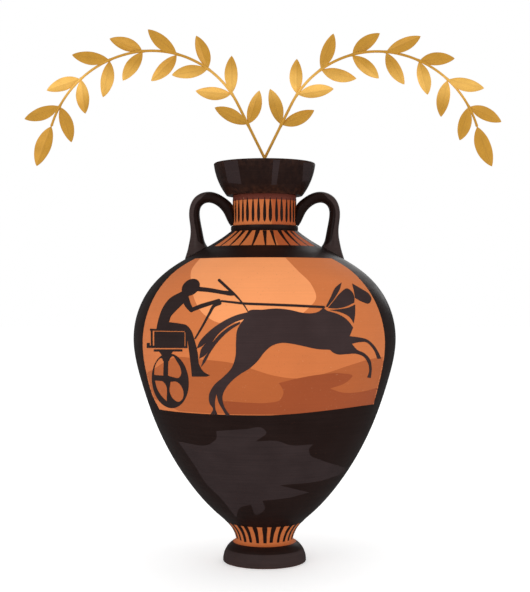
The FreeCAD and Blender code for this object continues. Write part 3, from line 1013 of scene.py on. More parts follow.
# The deepest painted shade, low on the panel, laid as a thin clay wash.
DEEPEST_PAINTED_SHADE_WASH = [(-67, 249, 1), (-24, 246), (5, 246), (24, 251), (29, 262), (22, 277, 1), (51, 284), (86, 290),
             (120, 292), (137, 288), (130, 280), (102, 268, 1), (122, 262), (149, 263), (184, 272, 1),
             (176, 236, 1), (91, 222, 1), (0, 212, 1), (-58, 216, 1)]
# A painted reflection on the black of the lower body.
PAINTED_REFLECTION_PATCH = [(-135, 185, 1), (-84, 183), (-76, 190), (-76, 202, 1), (-30, 205), (-3, 206), (2, 201),
               (-14, 186, 1),
               (25, 185), (35, 181), (75, 181, 1), (69, 174), (70, 166), (89, 156), (127, 141), (100, 128),
               (23, 117, 1), (69, 106, 1), (38, 98), (-4, 93, 1), (0, 81), (-14, 71), (-22, 87, 1),
               (-40, 81),
               (-45, 67, 1), (-69, 97), (-92, 120), (-109, 147)]
# The ground line thickens towards the horse's side.
GROUND_LINE = [(-4, 225.9, 1), (41.5, 228.3), (104, 234.9), (172, 244.1, 1), (177, 236, 1),
               (104, 226), (20, 223.5, 1)]
# Painted reflections down the front of the mouth.
MOUTH_PAINTED_REFLECTIONS = [
    [(-65, 624, 1), (-43, 626, 1), (-37, 588, 1), (-58, 590, 1)],
    [(13, 628, 1), (24, 628, 1), (18, 587, 1), (10, 587, 1)],
    [(60, 622, 1), (76, 621, 1), (69, 593, 1), (58, 592, 1)],
]

DRIVER_HEAD = ((-116.0, 426.5), (15.5, 11.5), 38.0)
DRIVER_TORSO = [(-128, 421, 1), (-150, 408), (-160, 394), (-167, 374), (-170, 359, 1), (-118, 359, 1),
                (-121, 366),
                (-134, 370), (-150, 372, 1), (-147, 381), (-140, 389), (-131, 398), (-124, 405),
                (-119, 413, 1)]
DRIVER_LEG = [(-133, 369, 1), (-121, 366), (-116, 360), (-110, 344), (-105, 323), (-102, 304), (-95, 294),
              (-86, 289, 1), (-91, 287, 1), (-114, 287, 1), (-116, 307), (-119, 330), (-122, 352, 1)]
DRIVER_UPPER_ARM = [(-125, 411, 11), (-121, 400, 10), (-115, 391, 7)]
DRIVER_FOREARM = [(-115, 391, 6), (-100, 397, 6.5), (-84, 402, 6), (-72, 406, 5)]
DRIVER_RAISED_ARM = [(-106, 424, 7), (-86, 422, 6.5), (-66, 418.5, 6), (-52, 416.5, 6.5), (-46, 415, 2)]
GOAD = [(-71.5, 437.5, 4.5), (-58, 425, 4.2), (-46, 414, 3.4), (-37, 404, 2.4), (-31, 396, 1.8),
        (-26.5, 388.5, 1.5)]
ROD = [(-71, 402, 6.5), (-79, 398, 5), (-87, 385, 3.8), (-98, 365, 3.2), (-109, 346.5, 2.4)]
REINS = [(-68, 405, 3.0), (-50, 403, 3.2), (-34, 401.3, 3.6), (0, 399.8, 3.7), (40, 398.2, 3.8),
         (92, 395.6, 3.6)]
CAR = [
    [(-172.8, 357.4, 1), (-125.6, 356.6, 1), (-125.6, 333.4, 1), (-172.8, 333.4, 1)],
    [(-124.2, 356.4, 1), (-121.2, 356.4, 1), (-121.2, 333.4, 1), (-124.2, 333.4, 1)],
    [(-179.5, 361.8, 1), (-120.5, 359.4, 1), (-120.5, 357.8, 1), (-179.5, 358.9, 1)],
    [(-178.4, 359.5, 1), (-175.6, 359.5, 1), (-175.2, 332.6, 1), (-178.0, 332.6, 1)],
    [(-184.5, 339.6, 1), (-180, 339.6, 1), (-180, 335.6, 1), (-173, 335.2, 1), (-121, 334.4, 1),
     (-121, 331.6, 1),
     (-184.5, 331.8, 1)],
    [(-173.6, 329.6, 1), (-129, 329.6, 1), (-129, 326.2, 1), (-173.6, 326.2, 1)],
]
WHEEL_HUB = [(-166, 327, 1), (-143, 327, 1), (-148, 320), (-150.5, 311), (-158.5, 311), (-161, 320)]
WHEEL_RIM = ((-147.8, 280.5), (28.6, 43.0), 6.5)
WHEEL_GAPS = [
    [(-173, 289.5, 1), (-172.5, 300), (-168, 311), (-162, 316), (-158, 313, 1), (-158.6, 288.5, 1)],
    [(-151, 312, 1), (-144, 319), (-137, 310), (-131.5, 299), (-131, 290), (-135, 285), (-143, 286),
     (-151.4, 288.5, 1)],
    [(-172, 281, 1), (-160, 280, 1), (-156, 276), (-153, 248, 1), (-160.5, 255.5), (-167.5, 266)],
    [(-147.5, 279, 1), (-138, 279), (-130, 271), (-127, 261.5), (-129, 251.5), (-135, 247.5), (-142, 251),
     (-148.5, 262)],
]

HORSE = [
    # Trunk and legs, clockwise from the tail's root.
    [(-26.9, 388.2), (-3.2, 391.5), (18.8, 393.3), (39.2, 391.1), (59.5, 386.6), (73, 385.9), (84, 388.6),
     (91, 394.5, 1), (97, 390, 1), (115.5, 384), (125.6, 378.1), (132.4, 371.3), (137.8, 363.6, 1),
     (132.4, 350.1, 1),
     (147.7, 348.1), (159.5, 345), (169.7, 336.5), (176.5, 326.4), (181.6, 315.3, 1), (175.6, 314.8, 1),
     (172.2, 324.7), (166.3, 334), (157.8, 340.8), (147.7, 340.8), (135.8, 338.2, 1), (144.3, 328.9),
     (156.1, 323),
     (164.6, 312.8), (166.8, 300.9), (165.5, 284.8, 1), (159.9, 285.7, 1), (162.9, 295.8), (161.2, 307.7),
     (154.4, 317.9), (142.6, 322.6), (127.3, 322.1), (112.1, 322.1), (105.3, 325.5), (101.9, 328.9, 1),
     (81.6, 330.1), (62.9, 334), (42.6, 338.2), (25.6, 339.6), (10.3, 334.8), (0.2, 326.3), (-11.7, 311.1),
     (-23.6, 300.1), (-38.8, 290.7), (-52.4, 279.5), (-62, 267.5), (-66.1, 258), (-65.7, 247),
     (-61.7, 236.7),
     (-54.2, 226.2, 1), (-61, 226.2, 1), (-66.5, 236), (-72.1, 246), (-75.9, 260, 1), (-78.1, 246),
     (-77.4, 236.7), (-74.4, 228, 1), (-84.8, 228.4, 1), (-81.1, 236.2), (-86.3, 245), (-87.1, 259.1),
     (-80.3, 272.5), (-63.9, 287.5), (-51.9, 301), (-46, 318.9), (-45.2, 341.3), (-43, 360.8),
     (-38.5, 369.5, 1),
     (-31, 378.7, 1)],
    # The tail: two locks with a slit between them, in three tips.
    [(-23.5, 388.4, 1), (-46, 382.5), (-68.4, 371.4), (-89, 356), (-102, 341.5), (-106.8, 330.5, 1),
     (-98.5, 334.5), (-91.2, 340.6, 1), (-99, 331), (-103, 314.8, 1), (-95, 319), (-88.2, 325.7, 1),
     (-95.2, 315.5), (-100.2, 301.5, 1), (-94.2, 308.5), (-85.8, 324), (-71.5, 343.6), (-55.6, 358.7),
     (-39.2, 369.5, 1),
     (-39.2, 373, 1), (-56.4, 364.3), (-71.4, 352.4), (-83.6, 338.6, 1), (-75.4, 350.8), (-60.5, 364.2),
     (-46, 372.4), (-31.7, 377.2, 1), (-23.5, 378, 1)],
    # Crest, mane, head and throat.
    [(95.1, 395.9, 1), (102.7, 411.1), (110.4, 426.4), (119.7, 434, 1), (117.2, 424.7), (108.7, 409.4),
     (98, 395.9, 1)],
    [(98.5, 394.3, 1), (107.8, 405.8), (117.2, 417.1), (128.2, 424.7), (135.8, 419.6), (139.8, 409.4),
     (139.5, 402.6, 1),
     (127.3, 396.7), (112.1, 393.5)],
    [(136.1, 432.5, 1), (149.4, 424.7), (162.9, 415.4), (166.2, 409.1), (162.9, 401.5), (151.1, 404.3),
     (140.6, 410, 1), (139.2, 419.6)],
    [(101.5, 391, 1), (117.2, 392.5), (130.7, 395), (140.9, 399.6, 1), (140.9, 385.7), (138.9, 370.4, 1),
     (132.4, 379.8),
     (120.5, 386.5)],
]


def panel_edges(height):
    """How far the panel's left and right borders stand from the front at a height."""
    slip = settings("slip")
    rise = (height - slip.panel_low) / (slip.panel_top - slip.panel_low)
    bend = math.radians(0.5) * math.sin(rise * 7.0 + 1.0)
    tuck = slip.corner_tuck * max(0.0, rise - 0.9) ** 2 * 100.0
    low_tuck = slip.low_tuck * max(0.0, 1.0 - rise / 0.16) ** 2
    left = slip.left_low + (slip.left_top - slip.left_low) * rise + 0.4 * bend - tuck - low_tuck
    right = slip.right_low + (slip.right_top - slip.right_low) * rise - 0.3 * bend - tuck
    return left, right


def hold_in_panel(azimuths, heights):
    """Moves points that lie outside the panel onto its border."""
    slip = settings("slip")
    heights = np.clip(heights, slip.panel_low + 0.1 * MM, slip.panel_top - 0.1 * MM)
    edges = np.array([panel_edges(height) for height in heights])
    return np.clip(azimuths, -edges[:, 0], edges[:, 1]), heights


def body_surface():
    return Surface("foot_collar", "lower_body", "upper_body", "neck_ring", "neck")


# ---- Strokes that repeat, grown by Geometry Nodes ----

STROKE_INPUTS = [
    ("Wall", "NodeSocketObject"), ("Count", "NodeSocketInt"), ("Low", "NodeSocketFloat"),
    ("High", "NodeSocketFloat"), ("Width", "NodeSocketFloat"), ("Thickness", "NodeSocketFloat"),
    ("Unevenness", "NodeSocketFloat"), ("Seed", "NodeSocketInt"), ("Slip", "NodeSocketMaterial"),
]


def stroke_tree(name, widths):
    """A tree that lays brush strokes round a wall; widths are (share of height, share of width)."""
    tree = bpy.data.node_groups.new(name, "GeometryNodeTree")
    for label, kind in STROKE_INPUTS:
        tree.interface.new_socket(label, in_out="INPUT", socket_type=kind)
    tree.interface.new_socket("Strokes", in_out="OUTPUT", socket_type="NodeSocketGeometry")
    given = tree.nodes.new("NodeGroupInput").outputs
    result = tree.nodes.new("NodeGroupOutput")
    patch = put(tree, "GeometryNodeMeshCube", {"Size": (1.0, 1.0, 1.0), "Vertices X": 5, "Vertices Y": 2,
                                               "Vertices Z": 15}).outputs[0]
    row = put(tree, "GeometryNodeMeshLine", {"Count": given["Count"], "Offset": (0.0, 0.0, 0.0)}).outputs[0]
    number = tree.nodes.new("GeometryNodeInputIndex").outputs[0]
    numbered = put(tree, "GeometryNodeStoreNamedAttribute",
                   {"Geometry": row, "Name": "stroke", "Value": number},
                   data_type="INT", domain="POINT").outputs[0]
    placed = put(tree, "GeometryNodeInstanceOnPoints", {"Points": numbered, "Instance": patch}).outputs[0]
    loose = put(tree, "GeometryNodeRealizeInstances", {"Geometry": placed}).outputs[0]
    stroke_number = put(tree, "GeometryNodeInputNamedAttribute", {"Name": "stroke"}, data_type="INT")
    own = [socket for socket in stroke_number.outputs if socket.enabled and socket.name == "Attribute"][0]
    local = put(tree, "ShaderNodeSeparateXYZ", {0: tree.nodes.new("GeometryNodeInputPosition").outputs[0]})
    rise = maths(tree, "ADD", local.outputs[2], 0.5)
    outness = maths(tree, "SUBTRACT", 0.5, local.outputs[1])
    taper = put(tree, "ShaderNodeFloatCurve", {"Value": rise})
    shape_curve(taper.mapping, widths)
    sway = hand(tree, own, given["Seed"], 1, given["Unevenness"])
    bulk = hand(tree, own, given["Seed"], 2, given["Unevenness"])
    reach = hand(tree, own, given["Seed"], 3, given["Unevenness"])
    lean = hand(tree, own, given["Seed"], 4, given["Unevenness"])
    tilt = maths(tree, "MULTIPLY", maths(tree, "MULTIPLY", lean, STRAY_LEAN),
                 maths(tree, "SUBTRACT", rise, 0.5))
    drift = maths(tree, "ADD", maths(tree, "MULTIPLY", sway, STRAY_ASIDE), tilt)
    spot = maths(tree, "ADD", own, drift)
    turn = maths(tree, "DIVIDE", maths(tree, "MULTIPLY", spot, TAU), given["Count"])
    tall = maths(tree, "SUBTRACT", given["High"], given["Low"])
    shift = maths(tree, "MULTIPLY", maths(tree, "MULTIPLY", reach, tall), STRAY_RISE)
    height = maths(tree, "ADD", maths(tree, "ADD", given["Low"], maths(tree, "MULTIPLY", rise, tall)), shift)
    hit, _ = cast(tree, given["Wall"], turn, height)
    flat = put(tree, "ShaderNodeVectorMath", {0: hit, 1: (1.0, 1.0, 0.0)}, operation="MULTIPLY").outputs[0]
    radius = put(tree, "ShaderNodeVectorMath", {0: flat}, operation="LENGTH").outputs["Value"]
    wide = maths(tree, "MULTIPLY", maths(tree, "MULTIPLY", given["Width"], taper.outputs[0]),
                 maths(tree, "ADD", 1.0, maths(tree, "MULTIPLY", bulk, STRAY_WIDTH)))
    aside = maths(tree, "DIVIDE", maths(tree, "MULTIPLY", local.outputs[0], wide), radius)
    hit, facing = cast(tree, given["Wall"], maths(tree, "ADD", turn, aside), height)
    depth = maths(tree, "ADD", given["Thickness"], STROKE_SUNK)
    proud = maths(tree, "SUBTRACT", maths(tree, "MULTIPLY", outness, depth), STROKE_SUNK)
    away = put(tree, "ShaderNodeVectorMath", {0: facing, "Scale": proud}, operation="SCALE").outputs[0]
    final = put(tree, "ShaderNodeVectorMath", {0: hit, 1: away}, operation="ADD").outputs[0]
    laid = put(tree, "GeometryNodeSetPosition", {"Geometry": loose, "Position": final}).outputs[0]
    whole = put(tree, "GeometryNodeRealizeInstances", {"Geometry": laid}).outputs[0]
    painted_strokes = put(tree, "GeometryNodeSetMaterial", {"Geometry": whole, "Material": given["Slip"]})
    tree.links.new(painted_strokes.outputs[0], result.inputs[0])
    return tree


def shape_curve(mapping, points):
    """Sets a curve's points from (place, value) pairs."""
    curve = mapping.curves[0]
    while len(curve.points) < len(points):
        curve.points.new(0.5, 0.5)
    for knob, (place, value) in zip(curve.points, points):
        knob.location = (place, value)
    mapping.update()


def hand(tree, number, seed, offset, unevenness):
    """A value between -1 and 1 for each stroke, times the unevenness."""
    drawn = put(tree, "FunctionNodeRandomValue", data_type="FLOAT")
    floats = [socket for socket in drawn.inputs if socket.type == "VALUE" and socket.enabled]
    floats[0].default_value = -1.0
    floats[1].default_value = 1.0
    tree.links.new(number, drawn.inputs["ID"])
    tree.links.new(maths(tree, "ADD", seed, float(offset)), drawn.inputs["Seed"])
    value = [socket for socket in drawn.outputs if socket.enabled][0]
    return maths(tree, "MULTIPLY", value, unevenness)


def cast(tree, wall, turn, height):
    """Where a level ray from outside meets the wall at a turn and height, and the wall's normal."""
    target = put(tree, "GeometryNodeObjectInfo", {"Object": wall}).outputs["Geometry"]
    east = maths(tree, "SINE", turn)
    south = maths(tree, "MULTIPLY", maths(tree, "COSINE", turn), -1.0)
    outward = put(tree, "ShaderNodeCombineXYZ", {0: east, 1: south}).outputs[0]
    far = put(tree, "ShaderNodeVectorMath", {0: outward, "Scale": 0.5}, operation="SCALE").outputs[0]
    level = put(tree, "ShaderNodeCombineXYZ", {2: height}).outputs[0]
    source = put(tree, "ShaderNodeVectorMath", {0: far, 1: level}, operation="ADD").outputs[0]
    inward = put(tree, "ShaderNodeVectorMath", {0: outward, "Scale": -1.0}, operation="SCALE").outputs[0]
    ray = put(tree, "GeometryNodeRaycast", {"Target Geometry": target, "Source Position": source,
                                            "Ray Direction": inward, "Ray Length": 1.0})
    return ray.outputs["Hit Position"], ray.outputs["Hit Normal"]


def grow(name, tree, values):
    """Runs a stroke tree and keeps its result as a plain mesh that rides with the jar."""
    carrier = bpy.data.objects.new(name, bpy.data.meshes.new(f"{name}_carrier"))
    bpy.context.scene.collection.objects.link(carrier)
    modifier = carrier.modifiers.new("Strokes", "NODES")
    modifier.node_group = tree
    sockets = {item.name: item.identifier for item in tree.interface.items_tree if item.in_out == "INPUT"}
    for label, value in values.items():
        modifier[sockets[label]] = value
    graph = bpy.context.evaluated_depsgraph_get()
    mesh = bpy.data.meshes.new_from_object(carrier.evaluated_get(graph), depsgraph=graph)
    mesh.name = name
    carrier.modifiers.remove(modifier)
    carrier.data = mesh
    if not mesh.polygons:
        raise RuntimeError(f"{name} grew no strokes")
    turn_outward(mesh, merged=True)
    mesh.polygons.foreach_set("use_smooth", [True] * len(mesh.polygons))
    sharpen(mesh)
    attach(carrier, "amphora")
    return carrier


# ---- Making pieces from the frame's solids ----

def remade(name, node, voxel_mm, smoothing):
    """A copy of a node's solid with an even, smoothed skin."""
    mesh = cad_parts[node].data.copy()
    mesh.name = name
    mesh.materials.clear()
    with editing(mesh) as shape:
        bmesh.ops.remove_doubles(shape, verts=shape.verts, dist=SAME_PLACE)
    piece = new_object(name, mesh, [])
    skin = piece.modifiers.new("Skin", "REMESH")
    skin.mode = "VOXEL"
    skin.voxel_size = voxel_mm * MM
    ease = piece.modifiers.new("Ease", "SMOOTH")
    ease.factor = 0.5
    ease.iterations = smoothing
    graph = bpy.context.evaluated_depsgraph_get()
    result = bpy.data.meshes.new_from_object(piece.evaluated_get(graph), depsgraph=graph)
    piece.modifiers.clear()
    piece.data = result
    result.polygons.foreach_set("use_smooth", [True] * len(result.polygons))
    return piece


def points_of(mesh):
    found = np.empty(len(mesh.vertices) * 3)
    mesh.vertices.foreach_get("co", found)
    return found.reshape(-1, 3)


def normals_of(mesh):
    found = np.empty(len(mesh.vertices) * 3)
    mesh.vertex_normals.foreach_get("vector", found)
    return found.reshape(-1, 3)


def leaf_frame(node):
    """A leaf's stalk, tip, facing and width, read from its flat solid."""
    spots = points_of(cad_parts[node].data)
    middle = spots.mean(axis=0)
    _, _, axes = np.linalg.svd(spots - middle, full_matrices=False)
    along = (spots - middle) @ axes[0]
    beside = (spots - middle) @ axes[1]
    near_high = np.ptp(beside[along > along.max() - 0.4 * MM])
    near_low = np.ptp(beside[along < along.min() + 0.4 * MM])
    heading = axes[0] if near_low > near_high else -axes[0]
    along = (spots - middle) @ heading
    stalk = middle + heading * along.min() + axes[1] * 0.5 * (beside.max() + beside.min())
    facing = axes[2] if axes[2][1] < 0.0 else -axes[2]
    return stalk, heading, facing, np.ptp(along), np.ptp(beside)


def make_leaf(name, node, fuller, material):
    """A beaten leaf: pointed, cupped along its midrib and bent back at the tip."""
    gilt = settings("gilt")
    stalk, heading, facing, long, wide = leaf_frame(node)
    across = np.cross(facing, heading)
    rows = 30
    columns = 12
    stem_share = 0.02
    # Half widths of the stalk, the tip and the midrib, the blade's ripple and the stalk's extra bulk.
    stalk_half = 0.9 * MM
    tip_half = 0.05 * MM
    rib_half = 0.9 * MM
    ripple = 0.35 * MM
    stalk_bulk = 0.35 * MM
    vertices = []
    corners = []
    for side in (1.0, -1.0):
        for row in range(rows + 1):
            place = row / rows
            blade = max(0.0, (place - stem_share) / (1.0 - stem_share))
            swell = (4.0 * blade * (1.0 - blade)) ** 0.84 * (1.0 + 0.10 * (0.5 - blade))
            for column in range(columns + 1):
                sway = 2.0 * column / columns - 1.0
                lobe = 1.0 + 0.13 * fuller * sway
                half = max(0.5 * wide * gilt.fullness * swell * lobe,
                           stalk_half * (1.0 - blade) ** 0.5 + tip_half)
                rim = math.sqrt(max(0.0, 1.0 - sway * sway))
                rise = gilt.cup * swell * sway * sway - gilt.droop * blade * blade
                rise -= gilt.midrib * math.exp(-(sway * half / rib_half) ** 2) * min(1.0, 3.0 * (1.0 - place))
                rise += ripple * math.sin(5.0 * blade * math.pi) * sway * swell
                thick = 0.5 * gilt.leaf_thickness * (0.35 + 0.65 * rim)
                thick += stalk_bulk * max(0.0, 1.0 - 8.0 * place)
                offset = -rise + side * thick
                reach = long * (place + gilt.reach * blade)
                vertices.append(stalk + heading * reach + across * half * sway + facing * offset)
                corners.append((column / columns, place))
    faces = []
    size = (rows + 1) * (columns + 1)
    for row in range(rows):
        for column in range(columns):
            first = row * (columns + 1) + column
            quad = (first, first + 1, first + columns + 2, first + columns + 1)
            faces.append(quad)
            faces.append(tuple(size + corner for corner in reversed(quad)))
    border = [row * (columns + 1) for row in range(rows + 1)]
    border += [rows * (columns + 1) + column for column in range(1, columns + 1)]
    border += [row * (columns + 1) + columns for row in range(rows - 1, -1, -1)]
    border += list(range(columns - 1, 0, -1))
    for first, second in zip(border, border[1:] + border[:1]):
        faces.append((first, second, size + second, size + first))
    mesh = mesh_from(name, vertices, faces)
    layer = mesh.uv_layers.new(name="leaf")
    for loop in mesh.loops:
        layer.data[loop.index].uv = corners[loop.vertex_index]
    turn_outward(mesh)
    piece = new_object(name, mesh, [material])
    sharpen(mesh, LEAF_CREASE)
    return piece


# ---- The operators, one for each piece or group of like pieces ----

class ThrowBody(bpy.types.Operator):
    """Throw the foot, body, neck and mouth on the wheel"""
    bl_idname = "amphora.throw_body"
    bl_label = "Throw the Body"

    def execute(self, context):
        clay = settings("clay")
        slip = settings("slip")
        finishes = [
            clay_material("Panel Clay", clay.middle, 0.035),
            clay_material("Neck Clay", clay.neck),
            slips()[0],
            # The foot's rim in its painted highlight colour.
            slip_material("Foot Slip", slip.painted_foot_highlight, 0.12, 0.46, 0.12),
            # Painted shadow under the mouth.
            clay_material("Deep Clay", clay.shadow),
            # Painted shade on one side of the neck and tongues.
            clay_material("Smoked Clay", clay.side_painted_shade),
        ]
        cork_low, cork_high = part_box("neck_cork")
        bore = 0.5 * (cork_high[0] - cork_low[0]) + 0.5 * MM

        def turned(node, zone, warp=None, coat=None, step=1.8, worn=0.0):
            points, closed = section(node)
            fine = refine(points, closed, step * MM, INNER_STEP)
            lowest = min(height for _, height in points)
            fine = [np.maximum(point, (0.0, lowest)) for point in fine]
            fine = add_levels(fine, closed, [slip.panel_low, slip.panel_top, slip.tongue_low, slip.tongue_top,
                                             slip.ray_top, slip.foot_band, slip.neck_shade])
            piece = lathe(node + "_thrown", fine, closed, finishes, bore, warp, zone, coat, worn)
            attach(piece, "amphora")
            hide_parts(node)

        def within(azimuth, height):
            left, right = panel_edges(height)
            back = azimuth - math.copysign(math.pi, azimuth)
            return -left < azimuth < right or -left < back < right

        # Whether an azimuth lies in the painted shade on the neck and tongues.
        def side_painted_shade(azimuth):
            turn = azimuth % math.pi
            return slip.painted_shade_start < turn < 0.5 * math.pi

        def beside_handle(azimuth):
            return abs(azimuth % math.pi - 0.5 * math.pi) < slip.handle_ground

        def body_zone(azimuth, height, facing, outer):
            if not outer:
                return BARE
            if slip.panel_low < height < slip.panel_top and within(azimuth, height):
                return PANEL
            if slip.tongue_low < height < slip.tongue_top and not beside_handle(azimuth):
                # Tongues on one side take painted shade.
                return SIDE_PAINTED_SHADE if side_painted_shade(azimuth) else BARE
            return GLOSS

        def body_coat(azimuths, height):
            if height > slip.tongue_low - SAME_PLACE and height < slip.tongue_top + SAME_PLACE:
                return 0.0
            if height < slip.panel_low + SAME_PLACE or height > slip.panel_top - SAME_PLACE:
                return slip.coat
            covered = [not within((azimuth + math.pi) % TAU - math.pi, height) for azimuth in azimuths]
            return slip.coat * np.array(covered, float)

        def warp(base, height):
            left, right = panel_edges(min(max(height, slip.panel_low), slip.panel_top))
            marks = np.array([-left, right, math.pi - left, math.pi + right, TAU - left, TAU + right])
            evenly = np.radians([-60.0, 60.0, 120.0, 240.0, 300.0, 420.0])
            return np.interp(base, evenly, marks)

        def low_zone(azimuth, height, facing, outer):
            return BARE if not outer or height < slip.ray_top else GLOSS

        def low_coat(azimuths, height):
            return slip.coat if height > slip.ray_top - SAME_PLACE else 0.0

        def foot_zone(azimuth, height, facing, outer):
            if facing.z < UNDERSIDE or not outer:
                return BARE
            # Below the band the foot's rim takes the painted highlight.
            return FOOT_PAINTED_HIGHLIGHT if height < slip.foot_band else GLOSS

        def neck_zone(azimuth, height, facing, outer):
            # Above this height the neck takes the painted shadow of the mouth.
            if outer and height > slip.neck_shade:
                return SHADE
            return SIDE_PAINTED_SHADE if outer and side_painted_shade(azimuth) else BARE

        turned("upper_body", body_zone, warp=warp, coat=body_coat)
        turned("lower_body", low_zone, coat=low_coat)
        turned("foot", foot_zone, step=1.0, worn=1.0)
        turned("foot_collar", lambda *_: BARE, step=0.8)
        turned("neck_ring", lambda *_: GLOSS, step=0.8)
        turned("neck", neck_zone, step=1.2)
        turned("mouth", lambda *_: GLOSS, step=1.0, worn=1.0)
        return {"FINISHED"}


class PullHandles(bpy.types.Operator):
    """Pull the two handles and slip them, with a painted highlight on each outer flank"""
    bl_idname = "amphora.pull_handles"
    bl_label = "Pull the Handles"

    def execute(self, context):
        slip = settings("slip")
        # Gloss slip with a painted highlight on each handle's outer flank.
        material = slip_material("Handle Slip", slip.gloss, second=slip.painted_handle_highlight)
        for side, sign in (("left", -1.0), ("right", 1.0)):
            node = f"{side}_handle"
            piece = remade(f"{node}_pulled", node, 1.1, 10)
            piece.data.materials.append(material)
            spots = points_of(piece.data)
            facing = normals_of(piece.data)
            low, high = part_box(node)
            outer_edge = max(abs(low[0]), abs(high[0]))
            loop_x = outer_edge - LOOP_IN
            loop_z = high[2] - LOOP_DOWN
            east = np.maximum(np.abs(spots[:, 0]) - loop_x, 1.0 * MM)
            up = np.maximum(spots[:, 2] - loop_z, 0.0)
            size = np.hypot(east, up)
            outward = (facing[:, 0] * sign * east + facing[:, 2] * up) / size
            limit = np.interp(spots[:, 2] / MM, FLANK_HEIGHTS, FLANK_LIMITS)
            inboard = np.clip((loop_x + INBOARD_FROM - np.abs(spots[:, 0])) / INBOARD_REACH, 0.0, 1.5)
            # The painted highlight covers skin that faces out of the loop.
            highlight_mask = 0.5 + FLANK_EDGE * (outward - limit - INBOARD_WEIGHT * inboard * (up > 0.0))
            layer = piece.data.attributes.new("satin", "FLOAT", "POINT")
            layer.data.foreach_set("value", np.clip(highlight_mask, 0.0, 1.0))
            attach(piece, "amphora")
            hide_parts(node)
        return {"FINISHED"}


class BrushStrokes(bpy.types.Operator):
    """Brush the strokes round the neck, the shoulder and the base"""
    bl_idname = "amphora.brush_strokes"
    bl_label = "Brush the Strokes"

    def execute(self, context):
        slip = settings("slip")
        strokes = settings("strokes")
        gloss = slips()[0]
        spindle = stroke_tree("Spindle Strokes",
                              [(0.0, 0.04), (0.10, 0.78), (0.3, 1.0), (0.62, 0.80), (1.0, 0.04)])
        tongue = stroke_tree("Tongue Strokes", [(0.0, 0.22), (0.12, 0.40), (0.5, 0.64), (1.0, 1.0)])
        ray = stroke_tree("Ray Strokes", [(0.0, 0.62), (0.08, 0.66), (0.5, 0.78), (1.0, 1.3)])
        common = {"Thickness": slip.coat + OVER_COAT, "Slip": gloss}
        middle = slip.neck_shade - NECK_STROKES_DOWN
        rows = [
            ("neck_strokes", spindle, "neck_thrown", strokes.neck_count, strokes.neck_width,
             middle - 0.5 * strokes.neck_height, middle + 0.5 * strokes.neck_height, 3, 0.45),
            ("tongue_strokes", tongue, "upper_body_thrown", strokes.tongue_count, strokes.tongue_width,
             slip.tongue_low - 1.0 * MM, slip.tongue_top + 1.0 * MM, 11, 1.0),
            ("ray_strokes", ray, "lower_body_thrown", strokes.ray_count, strokes.ray_width,
             slip.ray_low, slip.ray_top + 1.5 * MM, 19, 1.0),
        ]
        for name, tree, wall, number, width, low, high, seed, looseness in rows:
            grow(name, tree, {**common, "Wall": bpy.data.objects[wall], "Count": number, "Width": width,
                              "Low": low, "High": high, "Seed": seed,
                              "Unevenness": looseness * strokes.unevenness})
        return {"FINISHED"}


class FireWashes(bpy.types.Operator):
    """Lay the panel's painted highlight and shade as clay washes, and painted reflections on the slip"""
    bl_idname = "amphora.fire_washes"
    bl_label = "Fire the Washes"

    def execute(self, context):
        clay = settings("clay")
        coat = settings("slip").coat
        # The third slip finish is the painted sheen of reflections.
        gloss, _, satin = slips()
        body = body_surface()
        mouth = Surface("mouth")
        # Painted highlight and painted shade on the panel, laid as thin clay washes.
        washes = [
            ("pale_wash", PAINTED_HIGHLIGHT_WASH, clay_material("Pale Clay", clay.pale, 0.03), clay.wash),
            ("low_wash", LOWER_PAINTED_SHADE_WASH, clay_material("Low Clay", clay.low, 0.035), clay.wash * 0.8),
            ("deep_wash", DEEPEST_PAINTED_SHADE_WASH, clay_material("Dark Clay", clay.deep, 0.04), clay.wash * 1.35),
        ]
        # Painted reflections on the slip of the lower body and the mouth, and the ground line.
        patches = [
            ("satin_patch", [PAINTED_REFLECTION_PATCH], satin, coat + PATCH_OVER_COAT, body, WASH_LATTICE),
            ("ground_line", [GROUND_LINE], gloss, coat + OVER_COAT, body, WASH_LATTICE),
            ("mouth_patches", MOUTH_PAINTED_REFLECTIONS, satin, 0.08 * MM, mouth, 3.0),
        ]
        for back, side in ((False, "front"), (True, "back")):
            for name, points, material, proud in washes:
                piece = painted(f"{side}_{name}", [[outline(points)]], body, proud, material, back,
                                WASH_LATTICE, framed=True)
            for name, drawings, material, proud, surface, lattice in patches:
                shapes = [[outline(points)] for points in drawings]
                piece = painted(f"{side}_{name}", shapes, surface, proud, material, back, lattice)
        return {"FINISHED"}


class PaintChariot(bpy.types.Operator):
    """Paint the driver, the car, the wheel, the goad and the reins"""
    bl_idname = "amphora.paint_chariot"
    bl_label = "Paint the Chariot"

    def execute(self, context):
        slip = settings("slip")
        figure = slips()[1]
        body = body_surface()
        driver = [[outline(DRIVER_TORSO)], [outline(DRIVER_LEG)], [stroke(DRIVER_UPPER_ARM)],
                  [stroke(DRIVER_FOREARM)], [stroke(DRIVER_RAISED_ARM)]]
        wheel = [[ellipse(*WHEEL_RIM)] + [outline(hole) for hole in WHEEL_GAPS], [outline(WHEEL_HUB)]]
        groups = [
            ("driver", driver, 0.00),
            ("driver_head", [[ellipse(*DRIVER_HEAD)]], 0.06),
            ("car", [[outline(shape)] for shape in CAR], 0.10),
            ("wheel", wheel, 0.0),
            ("goad", [[stroke(GOAD)], [stroke(ROD)]], 0.05),
            ("reins", [[stroke(REINS)]], 0.08),
        ]
        for back, side in ((False, "front"), (True, "back")):
            for name, shapes, lift in groups:
                piece = painted(f"{side}_{name}", shapes, body, slip.relief + lift * MM, figure, back)
        return {"FINISHED"}


